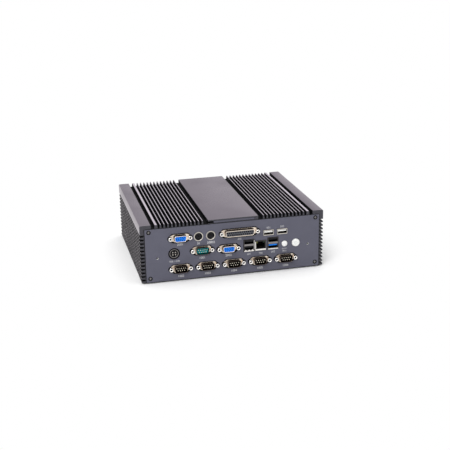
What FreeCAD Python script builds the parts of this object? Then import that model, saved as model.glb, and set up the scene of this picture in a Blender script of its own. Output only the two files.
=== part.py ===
# Fanless box computer: finned aluminium housing, connector panel, circuit boards and two push buttons.
# +X runs to the right along the connector panel, +Y from that panel to the rear, +Z up, in millimetres.
# The origin lies on the floor under the middle of the box.
import FreeCAD
import Part
import Sketcher
import math
import os
import re

# Driving dimensions

SIZES = {
    # Extruded housing
    "housing_width": 239.0,
    "housing_height": 75.4,
    "housing_length": 197.0,
    "edge_round": 1.5,
    "top_wall": 3.0,
    "side_wall": 2.8,
    "top_fin_height": 5.4,
    "top_fin_thickness": 2.0,
    "side_fin_depth": 5.0,
    "side_fin_thickness": 2.4,
    "plateau_width": 65.4,
    "corner_band": 14.4,
    "inner_channel": 6.1,
    "outer_channel": 4.5,
    "edge_fin": 3.8,
    "corner_height": 12.4,
    "sole_height": 2.3,
    "rail_width": 6.4,
    "rail_height": 5.4,
    "lip_width": 3.0,
    "lip_thickness": 1.0,
    "screw_drop": 9.0,
    # Slot in the front end of the raised land and the strip in it
    "slot_drop": 4.1,
    "slot_height": 2.4,
    "slot_depth": 12.0,
    "slot_wall": 4.6,
    "strip_length": 53.0,
    "strip_gap": 0.3,
    # End plates and bottom cover
    "plate_thickness": 1.5,
    "panel_inset": 1.1,
    "panel_lift": 0.5,
    "cover_thickness": 1.5,
    "cover_gap": 0.3,
    "cover_fit": 0.2,
    "cable_cover_spacing": 197.0,
    "cable_cover_drop": 43.7,
    "cable_cover_bore": 1.4,
    # Flush screws at the corners of the end plates
    "head_radius": 2.8,
    "thread_radius": 1.25,
    "screw_clearance": 0.1,
    "screw_length": 10.0,
    "head_height": 0.9,
    # Feet
    "foot_height": 1.6,
    "foot_width": 14.0,
    "foot_inset": 18.0,
    # D-shaped ports
    "connector_reach": 4.6,
    "dsub_taper": 0.176,
    "dsub_wall": 0.5,
    "dsub_bevel": 1.5,
    "dsub_fit": 0.1,
    "plug_height": 9.4,
    "plug_width": 17.9,
    "plug_recess": 5.4,
    "socket_height": 7.9,
    "socket_width_small": 16.3,
    "socket_width_large": 38.4,
    "socket_recess": 0.4,
    "flange_thickness": 0.8,
    "flange_height": 12.5,
    "flange_small": 30.8,
    "flange_large": 53.0,
    "flange_gap": 1.0,
    "nut_span_small": 24.99,
    "nut_span_large": 47.04,
    "nut_radius": 2.85,
    "nut_bore": 1.2,
    "nut_reach": 3.8,
    "cutout_height": 11.8,
    "cutout_width_small": 20.4,
    "cutout_width_large": 42.4,
    "cutout_tip": 3.25,
    "cutout_tip_height": 4.0,
    "block_depth": 10.0,
    "block_height": 4.4,
    "block_inset": 3.0,
    "pin_width": 0.9,
    "pin_length": 4.8,
    "pin_pitch": 2.77,
    "pin_row": 1.42,
    # Upper row, measured from the upper board
    "upper_board_drop": 27.0,
    "vga_1_x": -69.25,
    "vga_1_rise": 7.46,
    "keyboard_x": -45.6,
    "mouse_x": -29.9,
    "round_port_rise": 7.05,
    "parallel_x": 7.3,
    "parallel_rise": 7.56,
    "usb_1_x": 45.7,
    "usb_2_x": 63.8,
    # Middle row, measured from the main board
    "main_board_drop": 46.5,
    "inlet_x": -77.25,
    "inlet_rise": 6.9,
    "serial_1_x": -41.4,
    "serial_1_rise": 7.95,
    "vga_2_x": -7.2,
    "vga_2_rise": 6.95,
    "stack_left_x": 19.8,
    "lan_x": 35.0,
    "stack_right_x": 51.6,
    "reset_x": 67.0,
    "power_x": 82.1,
    "button_rise": 6.1,
    # Lower row, measured from the serial board
    "serial_board_share": 0.2699,
    "serial_first_x": -69.5,
    "serial_pitch": 34.48,
    "serial_rise": 7.34,
    # Round keyboard and mouse ports
    "ring_radius": 6.0,
    "ring_bore": 5.0,
    "ring_length": 9.0,
    "ring_reach": 0.3,
    "core_radius": 3.9,
    "core_recess": 0.6,
    "key_depth": 5.0,
    "core_fit": 0.1,
    "core_base": 6.0,
    "key_width": 2.4,
    "key_height": 1.4,
    "round_port_gap": 0.3,
    # Power inlet
    "inlet_radius": 7.3,
    "inlet_bore": 5.9,
    "inlet_reach": 0.5,
    "inlet_depth": 9.0,
    "inlet_base": 9.0,
    "inlet_core": 4.1,
    "inlet_core_recess": 0.8,
    "inlet_ring_wall": 0.5,
    "inlet_ring_recess": 0.9,
    # Flat ports
    "usb_width": 13.6,
    "usb_height": 7.2,
    "usb_length": 14.0,
    "usb_reach": 0.6,
    "usb_side": 0.6,
    "usb_opening": 5.2,
    "usb_back": 1.0,
    "tongue_width": 11.2,
    "tongue_thickness": 1.9,
    "tongue_drop": 0.6,
    "tongue_recess": 0.8,
    "stack_width": 14.2,
    "stack_height": 16.1,
    "stack_lower_floor": 2.3,
    "stack_upper_floor": 10.3,
    "port_gap": 0.4,
    # Network port
    "lan_width": 14.8,
    "lan_height": 13.4,
    "lan_length": 18.0,
    "lan_reach": 0.4,
    "lan_skin": 0.4,
    "lan_sill": 2.6,
    "lan_window_width": 12.0,
    "lan_window_height": 9.8,
    "lan_cavity_height": 7.4,
    "lan_cavity_depth": 13.0,
    "lan_latch_width": 6.0,
    "lan_lamp_width": 2.4,
    "lan_lamp_depth": 8.0,
    # Push buttons
    "power_radius": 5.15,
    "reset_radius": 3.75,
    "power_travel": 1.5,
    "reset_travel": 1.0,
    "button_reach": 1.4,
    "button_round": 0.6,
    "button_gap": 0.3,
    "ear_reach": 1.0,
    "ear_thickness": 1.2,
    "stem_width": 4.0,
    "ear_height": 4.0,
    "stem_length": 6.0,
    "stem_fit": 0.1,
    "switch_width": 11.0,
    "switch_length": 9.0,
    "switch_wall": 1.5,
    # Circuit boards
    "board_thickness": 1.6,
    "board_gap": 2.5,
    "board_margin": 5.0,
    "main_board_depth": 165.0,
    "upper_board_depth": 48.0,
    "serial_board_depth": 42.0,
    "pillar_radius": 3.2,
    "pillar_inset": 5.0,
    "main_pillar_setback": 56.0,
    "board_screw_head": 2.7,
    "board_screw_height": 1.8,
    # Chips, heat block and drive
    "processor_size": 38.0,
    "processor_thickness": 4.4,
    "processor_setback": 108.0,
    "heat_block_size": 54.0,
    "memory_length": 14.0,
    "memory_width": 10.0,
    "memory_thickness": 1.2,
    "memory_pitch": 17.0,
    "memory_offset": 50.0,
    "drive_width": 69.9,
    "drive_length": 100.0,
    "drive_thickness": 7.0,
    "drive_setback": 72.0,
}

# Heights that follow the height of the housing
HEIGHTS = {
    "slot_floor": "housing_height - slot_drop",
    "cable_cover_height": "housing_height - cable_cover_drop",
    "upper_board_top": "housing_height - upper_board_drop",
    "main_board_top": "housing_height - main_board_drop",
    "serial_board_top": "(housing_height - main_board_drop) * serial_board_share",
}

TOP_GROOVE_COUNT = 12
SIDE_GROOVE_COUNT = 13
LOWER_PORT_COUNT = 5
UPPER_PIN_COUNT = 5
LOWER_PIN_COUNT = 4
MEMORY_CHIP_COUNT = 4
SPOT_TOLERANCE = 0.01
HEX_SIDE_COUNT = 6
HEAD_SIDE_COUNT = 8

doc = FreeCAD.newDocument("box_computer")
sheet = doc.addObject("Spreadsheet::Sheet", "Sizes")
cells = {name: str(size) for name, size in SIZES.items()}
cells.update({name: f"={text}" for name, text in HEIGHTS.items()})
for line, (cell_name, content) in enumerate(cells.items(), start=1):
    sheet.set(f"A{line}", cell_name)
    sheet.set(f"B{line}", content)
    sheet.setAlias(f"B{line}", cell_name)
doc.recompute()

# Planes that many pieces share, as expressions of the driving dimensions

FRONT = "(-(connector_reach + 2 * plate_thickness + housing_length) / 2)"
FACE = f"({FRONT} + connector_reach)"
BACK = f"({FACE} + plate_thickness)"
REAR = f"({BACK} + housing_length)"
BASE = "foot_height"
INNER = "(housing_width / 2 - side_fin_depth - side_wall)"
CEILING = "(housing_height - top_fin_height - top_wall)"
SCREW_X = f"({INNER} - rail_width / 2)"
COVER_TOP = "(lip_thickness + cover_thickness)"
RAIL_FLOOR = f"({COVER_TOP} + cover_fit)"
SCREW_LOW = f"({RAIL_FLOOR} + rail_height / 2)"
SCREW_HIGH = "(housing_height - screw_drop)"
PANEL_HALF = "(housing_width / 2 - side_fin_depth - panel_inset)"
PANEL_TOP = "(housing_height - top_fin_height)"
COVER_HALF = f"({INNER} - cover_gap)"
BOARD_FRONT = f"({BACK} + board_gap)"

# Turns that point a primitive's own axis forward, backward or up
FORWARD = FreeCAD.Rotation(FreeCAD.Vector(1, 0, 0), 90)
BACKWARD = FreeCAD.Rotation(FreeCAD.Vector(1, 0, 0), -90)
UPWARD = FreeCAD.Rotation()

nodes = []


# Binding helpers

def linked(text):
    """Point every size named in an expression at its cell in the sheet."""
    def cell(word):
        return f"Sizes.{word.group()}" if word.group() in cells else word.group()

    return re.sub(r"[a-z]\w*", cell, text)


def value(text):
    """Work out an expression of the driving dimensions."""
    return float(sheet.evalExpression(text))


def bind(item, prop, text):
    item.setExpression(prop, linked(text))


def place(item, x, y, z):
    for axis, text in (("x", x), ("y", y), ("z", z)):
        bind(item, f"Placement.Base.{axis}", text)


def node(item, name):
    """Keep a finished piece under the name of its file."""
    item.Label = name
    nodes.append(item)
    return item


# Primitives and booleans

def block(name, x, y, z, length, width, height):
    item = doc.addObject("Part::Box", name)
    bind(item, "Length", length)
    bind(item, "Width", width)
    bind(item, "Height", height)
    place(item, x, y, z)
    return item


def rod(name, x, y, z, radius, height, turn):
    item = doc.addObject("Part::Cylinder", name)
    item.Placement.Rotation = turn
    bind(item, "Radius", radius)
    bind(item, "Height", height)
    place(item, x, y, z)
    return item


def prism(name, x, y, z, radius, height, turn, sides=HEX_SIDE_COUNT):
    item = doc.addObject("Part::Prism", name)
    item.Polygon = sides
    item.Placement.Rotation = turn
    bind(item, "Circumradius", radius)
    bind(item, "Height", height)
    place(item, x, y, z)
    return item


def fuse(name, pieces):
    item = doc.addObject("Part::MultiFuse", name)
    item.Shapes = pieces
    item.Refine = True
    return item


def cut(name, base, tools):
    item = doc.addObject("Part::Cut", name)
    item.Base = base
    item.Tool = tools[0] if len(tools) == 1 else fuse(f"{name}_tools", tools)
    item.Refine = True
    return item


def group(name, pieces):
    item = doc.addObject("Part::Compound", name)
    item.Links = pieces
    return item


# Bodies, sketches and features

def new_body(name, x, y, z):
    body = doc.addObject("PartDesign::Body", name)
    place(body, x, y, z)
    return body


def origin_feature(body, role):
    return next(feature for feature in body.Origin.OriginFeatures if feature.Role == role)


def sketch_on(body, role, name, lift="0"):
    """A sketch on one of the body's own planes, lifted along that plane's normal."""
    sketch = body.newObject("Sketcher::SketchObject", name)
    sketch.AttachmentSupport = (origin_feature(body, role), [""])
    sketch.MapMode = "FlatFace"
    if lift != "0":
        bind(sketch, "AttachmentOffset.Base.z", lift)
    return sketch


def locate(sketch, element, point, u, v):
    """Hold one point of the sketch at distances (u, v) from the sketch's origin."""
    for kind, text in (("DistanceX", u), ("DistanceY", v)):
        index = sketch.addConstraint(Sketcher.Constraint(kind, -1, 1, element, point, value(text)))
        bind(sketch, f"Constraints[{index}]", text)


def add_loop(sketch, corners):
    """Draw a closed loop of straight lines through corners given as pairs of expressions."""
    spots = [FreeCAD.Vector(value(u), value(v), 0) for u, v in corners]
    lines = [Part.LineSegment(spot, spots[(i + 1) % len(spots)]) for i, spot in enumerate(spots)]
    elements = sketch.addGeometry(lines)
    for i, element in enumerate(elements):
        following = elements[(i + 1) % len(elements)]
        sketch.addConstraint(Sketcher.Constraint("Coincident", element, 2, following, 1))
    for element, (u, v) in zip(elements, corners):
        locate(sketch, element, 1, u, v)


def add_rectangle(sketch, u_low, u_high, v_low, v_high):
    add_loop(sketch, [(u_low, v_low), (u_high, v_low), (u_high, v_high), (u_low, v_high)])


def add_polygon(sketch, u, v, radius, sides=HEX_SIDE_COUNT):
    """A regular polygon with its first corner on the +u side."""
    corners = []
    for i in range(sides):
        turn = 2 * math.pi * i / sides
        corner_u = f"{u} + ({radius}) * {math.cos(turn):.6f}"
        corner_v = f"{v} + ({radius}) * {math.sin(turn):.6f}"
        corners.append((corner_u, corner_v))
    add_loop(sketch, corners)


def add_circle(sketch, u, v, radius):
    spot = FreeCAD.Vector(value(u), value(v), 0)
    element = sketch.addGeometry(Part.Circle(spot, FreeCAD.Vector(0, 0, 1), value(radius)))
    locate(sketch, element, 3, u, v)
    index = sketch.addConstraint(Sketcher.Constraint("Radius", element, value(radius)))
    bind(sketch, f"Constraints[{index}]", radius)


def pad(body, sketch, name, length, reverse=False):
    feature = body.newObject("PartDesign::Pad", name)
    feature.Profile = sketch
    feature.Reversed = reverse
    bind(feature, "Length", length)
    return feature


def pocket(body, sketch, name, length=None, reverse=False):
    """Cut to a stated depth, or through everything."""
    feature = body.newObject("PartDesign::Pocket", name)
    feature.Profile = sketch
    feature.Reversed = reverse
    if length is None:
        feature.Type = "ThroughAll"
    else:
        bind(feature, "Length", length)
    return feature


def row_of(body, feature, name, role, pitch, count, reverse=False):
    """Repeat a feature along one of the body's own axes."""
    pattern = body.newObject("PartDesign::LinearPattern", name)
    pattern.Originals = [feature]
    pattern.Direction = (origin_feature(body, role), [""])
    pattern.Reversed = reverse
    pattern.Occurrences = count
    bind(pattern, "Length", f"({pitch}) * {count - 1}")
    body.Tip = pattern
    return pattern


def edges_at(shape, spots):
    """Names of the edges whose two ends both lie at one of the given (x, z) spots."""
    names = []
    for number, edge in enumerate(shape.Edges, start=1):
        ends = [vertex.Point for vertex in edge.Vertexes]
        if any(all(abs(end.x - x) + abs(end.z - z) < SPOT_TOLERANCE for end in ends) for x, z in spots):
            names.append(f"Edge{number}")
    return names


def round_edges(body, name, spots, radius):
    """Round the edges along Y at corners given as pairs of expressions."""
    doc.recompute()
    base = body.Tip
    corners = [(value(u), value(v)) for u, v in spots]
    feature = body.newObject("PartDesign::Fillet", name)
    feature.Base = (base, edges_at(base.Shape, corners))
    bind(feature, "Radius", radius)
    return feature


# Housing: one extrusion with fins on its top and both sides

def make_housing():
    body = new_body("finned_housing_body", "0", BACK, BASE)
    profile = sketch_on(body, "XZ_Plane", "housing_profile")
    half = "housing_width / 2"
    rail = f"{INNER} - rail_width"
    right = [
        (half, "housing_height"),
        (half, "0"),
        (f"{INNER} - lip_width", "0"),
        (f"{INNER} - lip_width", "lip_thickness"),
        (INNER, "lip_thickness"),
        (INNER, RAIL_FLOOR),
        (rail, RAIL_FLOOR),
        (rail, f"{RAIL_FLOOR} + rail_height"),
        (INNER, f"{RAIL_FLOOR} + rail_height"),
        (INNER, f"{SCREW_HIGH} - rail_width / 2"),
        (rail, f"{SCREW_HIGH} - rail_width / 2"),
        (rail, CEILING),
    ]
    left = [(f"-({u})", v) for u, v in reversed(right)]
    add_loop(profile, right + left)
    pad(body, profile, "housing_extrusion", "housing_length", reverse=True)
    top_corners = [(half, "housing_height"), (f"-({half})", "housing_height")]
    round_edges(body, "housing_edges", top_corners, "edge_round")

    channel_floor = "housing_height - top_fin_height"
    fin_start = "(plateau_width / 2 + inner_channel)"
    edge_start = "(housing_width / 2 - corner_band - outer_channel - edge_fin)"
    top_pitch = f"({edge_start} - {fin_start}) / {TOP_GROOVE_COUNT}"
    side_pitch = f"(housing_height - corner_height - sole_height + side_fin_thickness) / {SIDE_GROOVE_COUNT}"

    channels = sketch_on(body, "XZ_Plane", "wide_channels")
    for near, far in (
        ("plateau_width / 2", fin_start),
        (f"{edge_start} + edge_fin", "housing_width / 2 - corner_band"),
    ):
        add_rectangle(channels, near, far, channel_floor, "housing_height + top_fin_height")
        add_rectangle(channels, f"-({far})", f"-({near})", channel_floor, "housing_height + top_fin_height")
    pocket(body, channels, "wide_channel_cut")

    for side, sign, turned in (("right", "", False), ("left", "-", True)):
        groove = sketch_on(body, "XZ_Plane", f"top_groove_{side}")
        ends = [f"{sign}({fin_start} + top_fin_thickness)", f"{sign}({fin_start} + {top_pitch})"]
        low, high = reversed(ends) if turned else ends
        add_rectangle(groove, low, high, channel_floor, "housing_height + top_fin_height")
        first = pocket(body, groove, f"top_groove_cut_{side}")
        row_of(body, first, f"top_grooves_{side}", "X_Axis", top_pitch, TOP_GROOVE_COUNT, turned)

        notch = sketch_on(body, "XZ_Plane", f"side_groove_{side}")
        ends = [f"{sign}({half} - side_fin_depth)", f"{sign}({half} + side_fin_depth)"]
        low, high = reversed(ends) if turned else ends
        add_rectangle(notch, low, high, "sole_height", f"sole_height + {side_pitch} - side_fin_thickness")
        first = pocket(body, notch, f"side_groove_cut_{side}")
        row_of(body, first, f"side_grooves_{side}", "Z_Axis", side_pitch, SIDE_GROOVE_COUNT)

    bores = sketch_on(body, "XZ_Plane", "end_screw_bores")
    for u in (SCREW_X, f"-{SCREW_X}"):
        for v in (SCREW_LOW, SCREW_HIGH):
            add_polygon(bores, u, v, "thread_radius + screw_clearance")
    pocket(body, bores, "end_screw_bore_cut")

    slot = sketch_on(body, "XZ_Plane", "land_slot")
    slot_ends = ("-(plateau_width / 2 + inner_channel / 2)", "plateau_width / 2 - slot_wall")
    add_rectangle(slot, *slot_ends, "slot_floor", "slot_floor + slot_height")
    pocket(body, slot, "land_slot_cut", "slot_depth")
    return node(body, "finned_housing")


def make_slot_strip():
    """The strip lies on the floor of the slot, against its closed end."""
    strip = block(
        "slot_strip_block",
        "plateau_width / 2 - slot_wall - strip_gap - strip_length",
        f"{BACK} + strip_gap",
        f"{BASE} + slot_floor",
        "strip_length",
        "slot_depth - 2 * strip_gap",
        "slot_height - strip_gap",
    )
    return node(strip, "slot_strip")


# End plates, bottom cover, screws and feet

def screw_seats(body, name, lift, turned):
    """A sunk seat and a thread hole for the screw at each corner. The outer face is at the lift."""
    heads = sketch_on(body, "XZ_Plane", f"{name}_head_seats", lift)
    threads = sketch_on(body, "XZ_Plane", f"{name}_thread_holes", lift)
    for u in (SCREW_X, f"-{SCREW_X}"):
        for v in (SCREW_LOW, SCREW_HIGH):
            add_polygon(heads, u, v, "head_radius + screw_clearance", HEAD_SIDE_COUNT)
            add_polygon(threads, u, v, "thread_radius + screw_clearance")
    pocket(body, heads, f"{name}_head_seat_cut", "head_height", turned)
    pocket(body, threads, f"{name}_thread_hole_cut", None, turned)


def end_plate(name, y, faces_front):
    """A flat plate over one end of the housing."""
    body = new_body(f"{name}_body", "0", y, BASE)
    outline = sketch_on(body, "XZ_Plane", f"{name}_outline")
    add_rectangle(outline, f"-{PANEL_HALF}", PANEL_HALF, "panel_lift", PANEL_TOP)
    pad(body, outline, f"{name}_plate", "plate_thickness", reverse=True)
    screw_seats(body, name, "0" if faces_front else "-plate_thickness", not faces_front)
    return body


def make_bottom_cover():
    """A sheet that slides in over the lips of the housing."""
    cover = block(
        "bottom_cover_sheet",
        f"-{COVER_HALF}",
        f"{BACK} + cover_gap",
        f"{BASE} + lip_thickness",
        f"2 * {COVER_HALF}",
        "housing_length - 2 * cover_gap",
        "cover_thickness",
    )
    return node(cover, "bottom_cover")


def flush_screw(name, x, y, z, length, turn):
    """A screw whose head lies flush with the outer face, at the point given."""
    head = prism(f"{name}_head", x, y, z, "head_radius", "head_height", turn, HEAD_SIDE_COUNT)
    thread = prism(f"{name}_thread", x, y, z, "thread_radius", length, turn)
    return fuse(name, [head, thread])


def make_screws():
    screws = []
    for end, y, turn in (("front", FACE, BACKWARD), ("rear", f"{REAR} + plate_thickness", FORWARD)):
        for i, u in enumerate((SCREW_X, f"-{SCREW_X}")):
            for j, v in enumerate((SCREW_LOW, SCREW_HIGH)):
                spot = (u, y, f"{BASE} + {v}")
                screws.append(flush_screw(f"{end}_screw_{i}{j}", *spot, "screw_length", turn))
    return node(group("panel_screw_set", screws), "panel_screws")


def make_feet():
    """Flat rubber pads under the corners of the bottom cover."""
    feet = []
    near = f"({INNER} - foot_inset - foot_width)"
    size = ("foot_width", "foot_width", f"{BASE} + lip_thickness")
    for i, x in enumerate((near, f"-{near} - foot_width")):
        for j, y in enumerate((f"{BACK} + foot_inset", f"{REAR} - foot_inset - foot_width")):
            feet.append(block(f"foot_{i}{j}", x, y, "0", *size))
    return node(group("foot_set", feet), "rubber_feet")


# D-shaped ports

class DPort:
    """Sizes and place of one D-shaped port, as expressions."""

    def __init__(self, name, x, board_top, rise, kind, gap):
        size = "large" if kind == "large socket" else "small"
        self.name = name
        self.x = x
        self.board_top = board_top
        self.rise = rise
        self.z = f"({board_top} + {rise})"
        self.plug = kind == "plug"
        self.width = "plug_width" if self.plug else f"socket_width_{size}"
        self.height = "plug_height" if self.plug else "socket_height"
        self.recess = "plug_recess" if self.plug else "socket_recess"
        self.flange = f"flange_{size}"
        self.nut_span = f"nut_span_{size}"
        self.cutout = f"cutout_width_{size}"
        self.gap = gap
        self.plane = f"({BACK} + {gap})"
        self.tube = f"(connector_reach + plate_thickness + {gap})"


def d_corners(width, height, inset):
    """Corners of the bevelled D outline, wide side up, drawn in by an inset."""
    top = f"({width} / 2 - {inset})"
    level = f"({height} / 2 - {inset})"
    bottom = f"({top} - 2 * {level} * dsub_taper)"
    bevel = f"(dsub_bevel - {inset} * {2 - math.sqrt(2):.4f})"
    right = [
        (f"({bottom} - {bevel})", f"-{level}"),
        (f"({bottom} + {bevel} * dsub_taper)", f"({bevel} - {level})"),
        (f"({top} - {bevel} * dsub_taper)", f"({level} - {bevel})"),
        (f"({top} - {bevel})", level),
    ]
    return right + [(f"-{u}", v) for u, v in reversed(right)]


def cutout_corners(width, nut_span):
    """Corners of a panel opening: the D outline drawn out to a blunt tip round each nut."""
    top = f"({width} / 2)"
    level = "(cutout_height / 2)"
    bottom = f"({top} - cutout_height * dsub_taper)"
    tip = f"({nut_span} / 2 + cutout_tip)"
    right = [
        (bottom, f"-{level}"),
        (tip, "-cutout_tip_height / 2"),
        (tip, "cutout_tip_height / 2"),
        (top, level),
    ]
    return right + [(f"-{u}", v) for u, v in reversed(right)]


def make_d_shell(port):
    """Drawn metal shell: a D-shaped tube on a flat flange."""
    body = new_body(f"{port.name}_shell_body", port.x, port.plane, f"{BASE} + {port.z}")
    outline = sketch_on(body, "XZ_Plane", f"{port.name}_tube_outline")
    add_loop(outline, d_corners(port.width, port.height, "0"))
    pad(body, outline, f"{port.name}_tube", port.tube)
    flange = sketch_on(body, "XZ_Plane", f"{port.name}_flange_outline")
    ends = (f"-{port.flange} / 2", f"{port.flange} / 2", "-flange_height / 2", "flange_height / 2")
    add_rectangle(flange, *ends)
    pad(body, flange, f"{port.name}_flange", "flange_thickness", reverse=True)
    mouth = sketch_on(body, "XZ_Plane", f"{port.name}_mouth", port.tube)
    add_loop(mouth, d_corners(port.width, port.height, "dsub_wall"))
    pocket(body, mouth, f"{port.name}_mouth_cut")
    return node(body, f"{port.name}_shell")


def make_d_insert(port):
    """Plastic insert: a nose inside the shell and a block behind the flange that stands on its board."""
    flange_back = f"{port.plane} + flange_thickness"
    body = new_body(f"{port.name}_insert_body", port.x, flange_back, f"{BASE} + {port.z}")
    nose = sketch_on(body, "XZ_Plane", f"{port.name}_nose_outline")
    add_loop(nose, d_corners(port.width, port.height, "(dsub_wall + dsub_fit)"))
    pad(body, nose, f"{port.name}_nose", f"flange_thickness + {port.tube} - {port.recess}")
    rear = sketch_on(body, "XZ_Plane", f"{port.name}_block_outline")
    half = f"({port.flange} / 2 - block_inset)"
    add_rectangle(rear, f"-{half}", half, f"-{port.rise}", "block_height")
    pad(body, rear, f"{port.name}_block", "block_depth", reverse=True)
    return node(body, f"{port.name}_insert")


def make_pins(port):
    """Two rows of contact pins that stand on the insert of a plug."""
    pins = []
    for row, count in (("pin_row", UPPER_PIN_COUNT), ("-pin_row", LOWER_PIN_COUNT)):
        for i in range(count):
            x = f"{port.x} + {i - (count - 1) / 2} * pin_pitch - pin_width / 2"
            spot = (x, f"{FRONT} + {port.recess} - pin_length", f"{BASE} + {port.z} + {row} - pin_width / 2")
            pins.append(block(f"{port.name}_pin_{count}{i}", *spot, "pin_width", "pin_length", "pin_width"))
    return pins


def make_nuts(port):
    """Hexagon nuts that stand on the flange and pass through the panel."""
    nuts = []
    for i, sign in enumerate("+-"):
        spot = (f"{port.x} {sign} {port.nut_span} / 2", port.plane, f"{BASE} + {port.z}")
        length = f"nut_reach + plate_thickness + {port.gap}"
        solid = prism(f"{port.name}_nut_solid_{i}", *spot, "nut_radius", length, FORWARD)
        bore = prism(f"{port.name}_nut_bore_{i}", *spot, "nut_bore", length, FORWARD)
        nuts.append(cut(f"{port.name}_nut_{i}", solid, [bore]))
    return nuts


def all_d_ports():
    ports = [
        DPort("vga_port_1", "vga_1_x", "upper_board_top", "vga_1_rise", "small socket", "0"),
        DPort("parallel_port", "parallel_x", "upper_board_top", "parallel_rise", "large socket", "0"),
        DPort("serial_port_1", "serial_1_x", "main_board_top", "serial_1_rise", "plug", "flange_gap"),
        DPort("vga_port_2", "vga_2_x", "main_board_top", "vga_2_rise", "small socket", "flange_gap"),
    ]
    for i in range(LOWER_PORT_COUNT):
        x = f"(serial_first_x + {i} * serial_pitch)"
        name = f"serial_port_{i + 2}"
        ports.append(DPort(name, x, "serial_board_top", "serial_rise", "plug", "flange_gap"))
    return ports


# Round ports

def make_round_port(name, x):
    """Metal ring round a keyed plastic core on a moulded base that stands on the board."""
    z = f"{BASE} + upper_board_top + round_port_rise"
    mouth = f"{FACE} - ring_reach"
    ring = rod(f"{name}_ring_solid", x, mouth, z, "ring_radius", "ring_length", BACKWARD)
    bore = rod(f"{name}_ring_bore", x, mouth, z, "ring_bore", "ring_length", BACKWARD)
    node(cut(f"{name}_ring_tube", ring, [bore]), f"{name}_ring")

    core_spot = (x, f"{mouth} + core_recess", z)
    core_length = "ring_length - core_recess"
    core = rod(f"{name}_core_rod", *core_spot, "core_radius", core_length, BACKWARD)
    base = block(
        f"{name}_base",
        f"{x} - ring_radius",
        f"{mouth} + ring_length",
        f"{BASE} + upper_board_top",
        "2 * ring_radius",
        "core_base",
        "round_port_rise + ring_radius",
    )
    key = block(
        f"{name}_key",
        f"{x} - key_width / 2",
        f"{mouth} + core_recess",
        f"{z} - key_height / 2",
        "key_width",
        "key_depth",
        "key_height",
    )
    solid = fuse(f"{name}_core_solid", [core, base])
    return node(cut(f"{name}_core_cut", solid, [key]), f"{name}_core")


def make_power_inlet():
    """Moulded sleeve with a core in its middle, and a metal ring round the inside of the sleeve."""
    z = f"{BASE} + main_board_top + inlet_rise"
    mouth = f"{FACE} - inlet_reach"
    sleeve_length = "(inlet_reach + plate_thickness + board_gap - port_gap)"
    sleeve = rod("inlet_sleeve", "inlet_x", mouth, z, "inlet_radius", sleeve_length, BACKWARD)
    base = block(
        "inlet_base_block",
        "inlet_x - inlet_radius",
        f"{BOARD_FRONT} - port_gap",
        f"{BASE} + main_board_top",
        "2 * inlet_radius",
        "inlet_base",
        "inlet_rise + inlet_radius",
    )
    hollow = rod("inlet_hollow", "inlet_x", mouth, z, "inlet_bore", "inlet_depth", BACKWARD)
    shell = cut("inlet_shell", fuse("inlet_outer", [sleeve, base]), [hollow])
    core_spot = ("inlet_x", f"{mouth} + inlet_core_recess", z)
    core = rod("inlet_core_rod", *core_spot, "inlet_core", "inlet_depth - inlet_core_recess", BACKWARD)
    node(fuse("inlet_body_solid", [shell, core]), "power_inlet_body")

    ring_spot = ("inlet_x", f"{mouth} + inlet_ring_recess", z)
    ring_length = "inlet_depth - inlet_ring_recess"
    ring = rod("inlet_ring_solid", *ring_spot, "inlet_bore - core_fit", ring_length, BACKWARD)
    opening_radius = "inlet_bore - core_fit - inlet_ring_wall"
    opening = rod("inlet_ring_opening", *ring_spot, opening_radius, ring_length, BACKWARD)
    node(cut("inlet_ring_tube", ring, [opening]), "power_inlet_ring")


# Flat ports

def usb_opening(name, x, floor):
    """The hollow of one flat port, open at the front."""
    width = "(usb_width - 2 * usb_side)"
    mouth = f"{FACE} - usb_reach"
    return block(name, f"{x} - {width} / 2", mouth, floor, width, "usb_length - usb_back", "usb_opening")


def usb_tongue(name, x, floor):
    """The contact tongue near the top of the hollow, fixed to its back wall."""
    return block(
        name,
        f"{x} - tongue_width / 2",
        f"{FACE} - usb_reach + tongue_recess",
        f"{floor} + usb_opening - tongue_drop - tongue_thickness",
        "tongue_width",
        "usb_length - usb_back - tongue_recess",
        "tongue_thickness",
    )


def make_single_usb(name, x):
    floor = f"{BASE} + upper_board_top"
    outer = block(
        f"{name}_outer",
        f"{x} - usb_width / 2",
        f"{FACE} - usb_reach",
        floor,
        "usb_width",
        "usb_length",
        "usb_height",
    )
    hollow_floor = f"{floor} + (usb_height - usb_opening) / 2"
    node(cut(f"{name}_tube", outer, [usb_opening(f"{name}_hollow", x, hollow_floor)]), f"{name}_shell")
    node(usb_tongue(f"{name}_bar", x, hollow_floor), f"{name}_tongue")


def make_usb_stack(name, x):
    floor = f"{BASE} + main_board_top"
    outer = block(
        f"{name}_outer",
        f"{x} - stack_width / 2",
        f"{FACE} - usb_reach",
        floor,
        "stack_width",
        "usb_length",
        "stack_height",
    )
    levels = [f"{floor} + stack_lower_floor", f"{floor} + stack_upper_floor"]
    hollows = [usb_opening(f"{name}_hollow_{i}", x, level) for i, level in enumerate(levels)]
    node(cut(f"{name}_tube", outer, hollows), f"{name}_shell")
    return [usb_tongue(f"{name}_bar_{i}", x, level) for i, level in enumerate(levels)]


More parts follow.
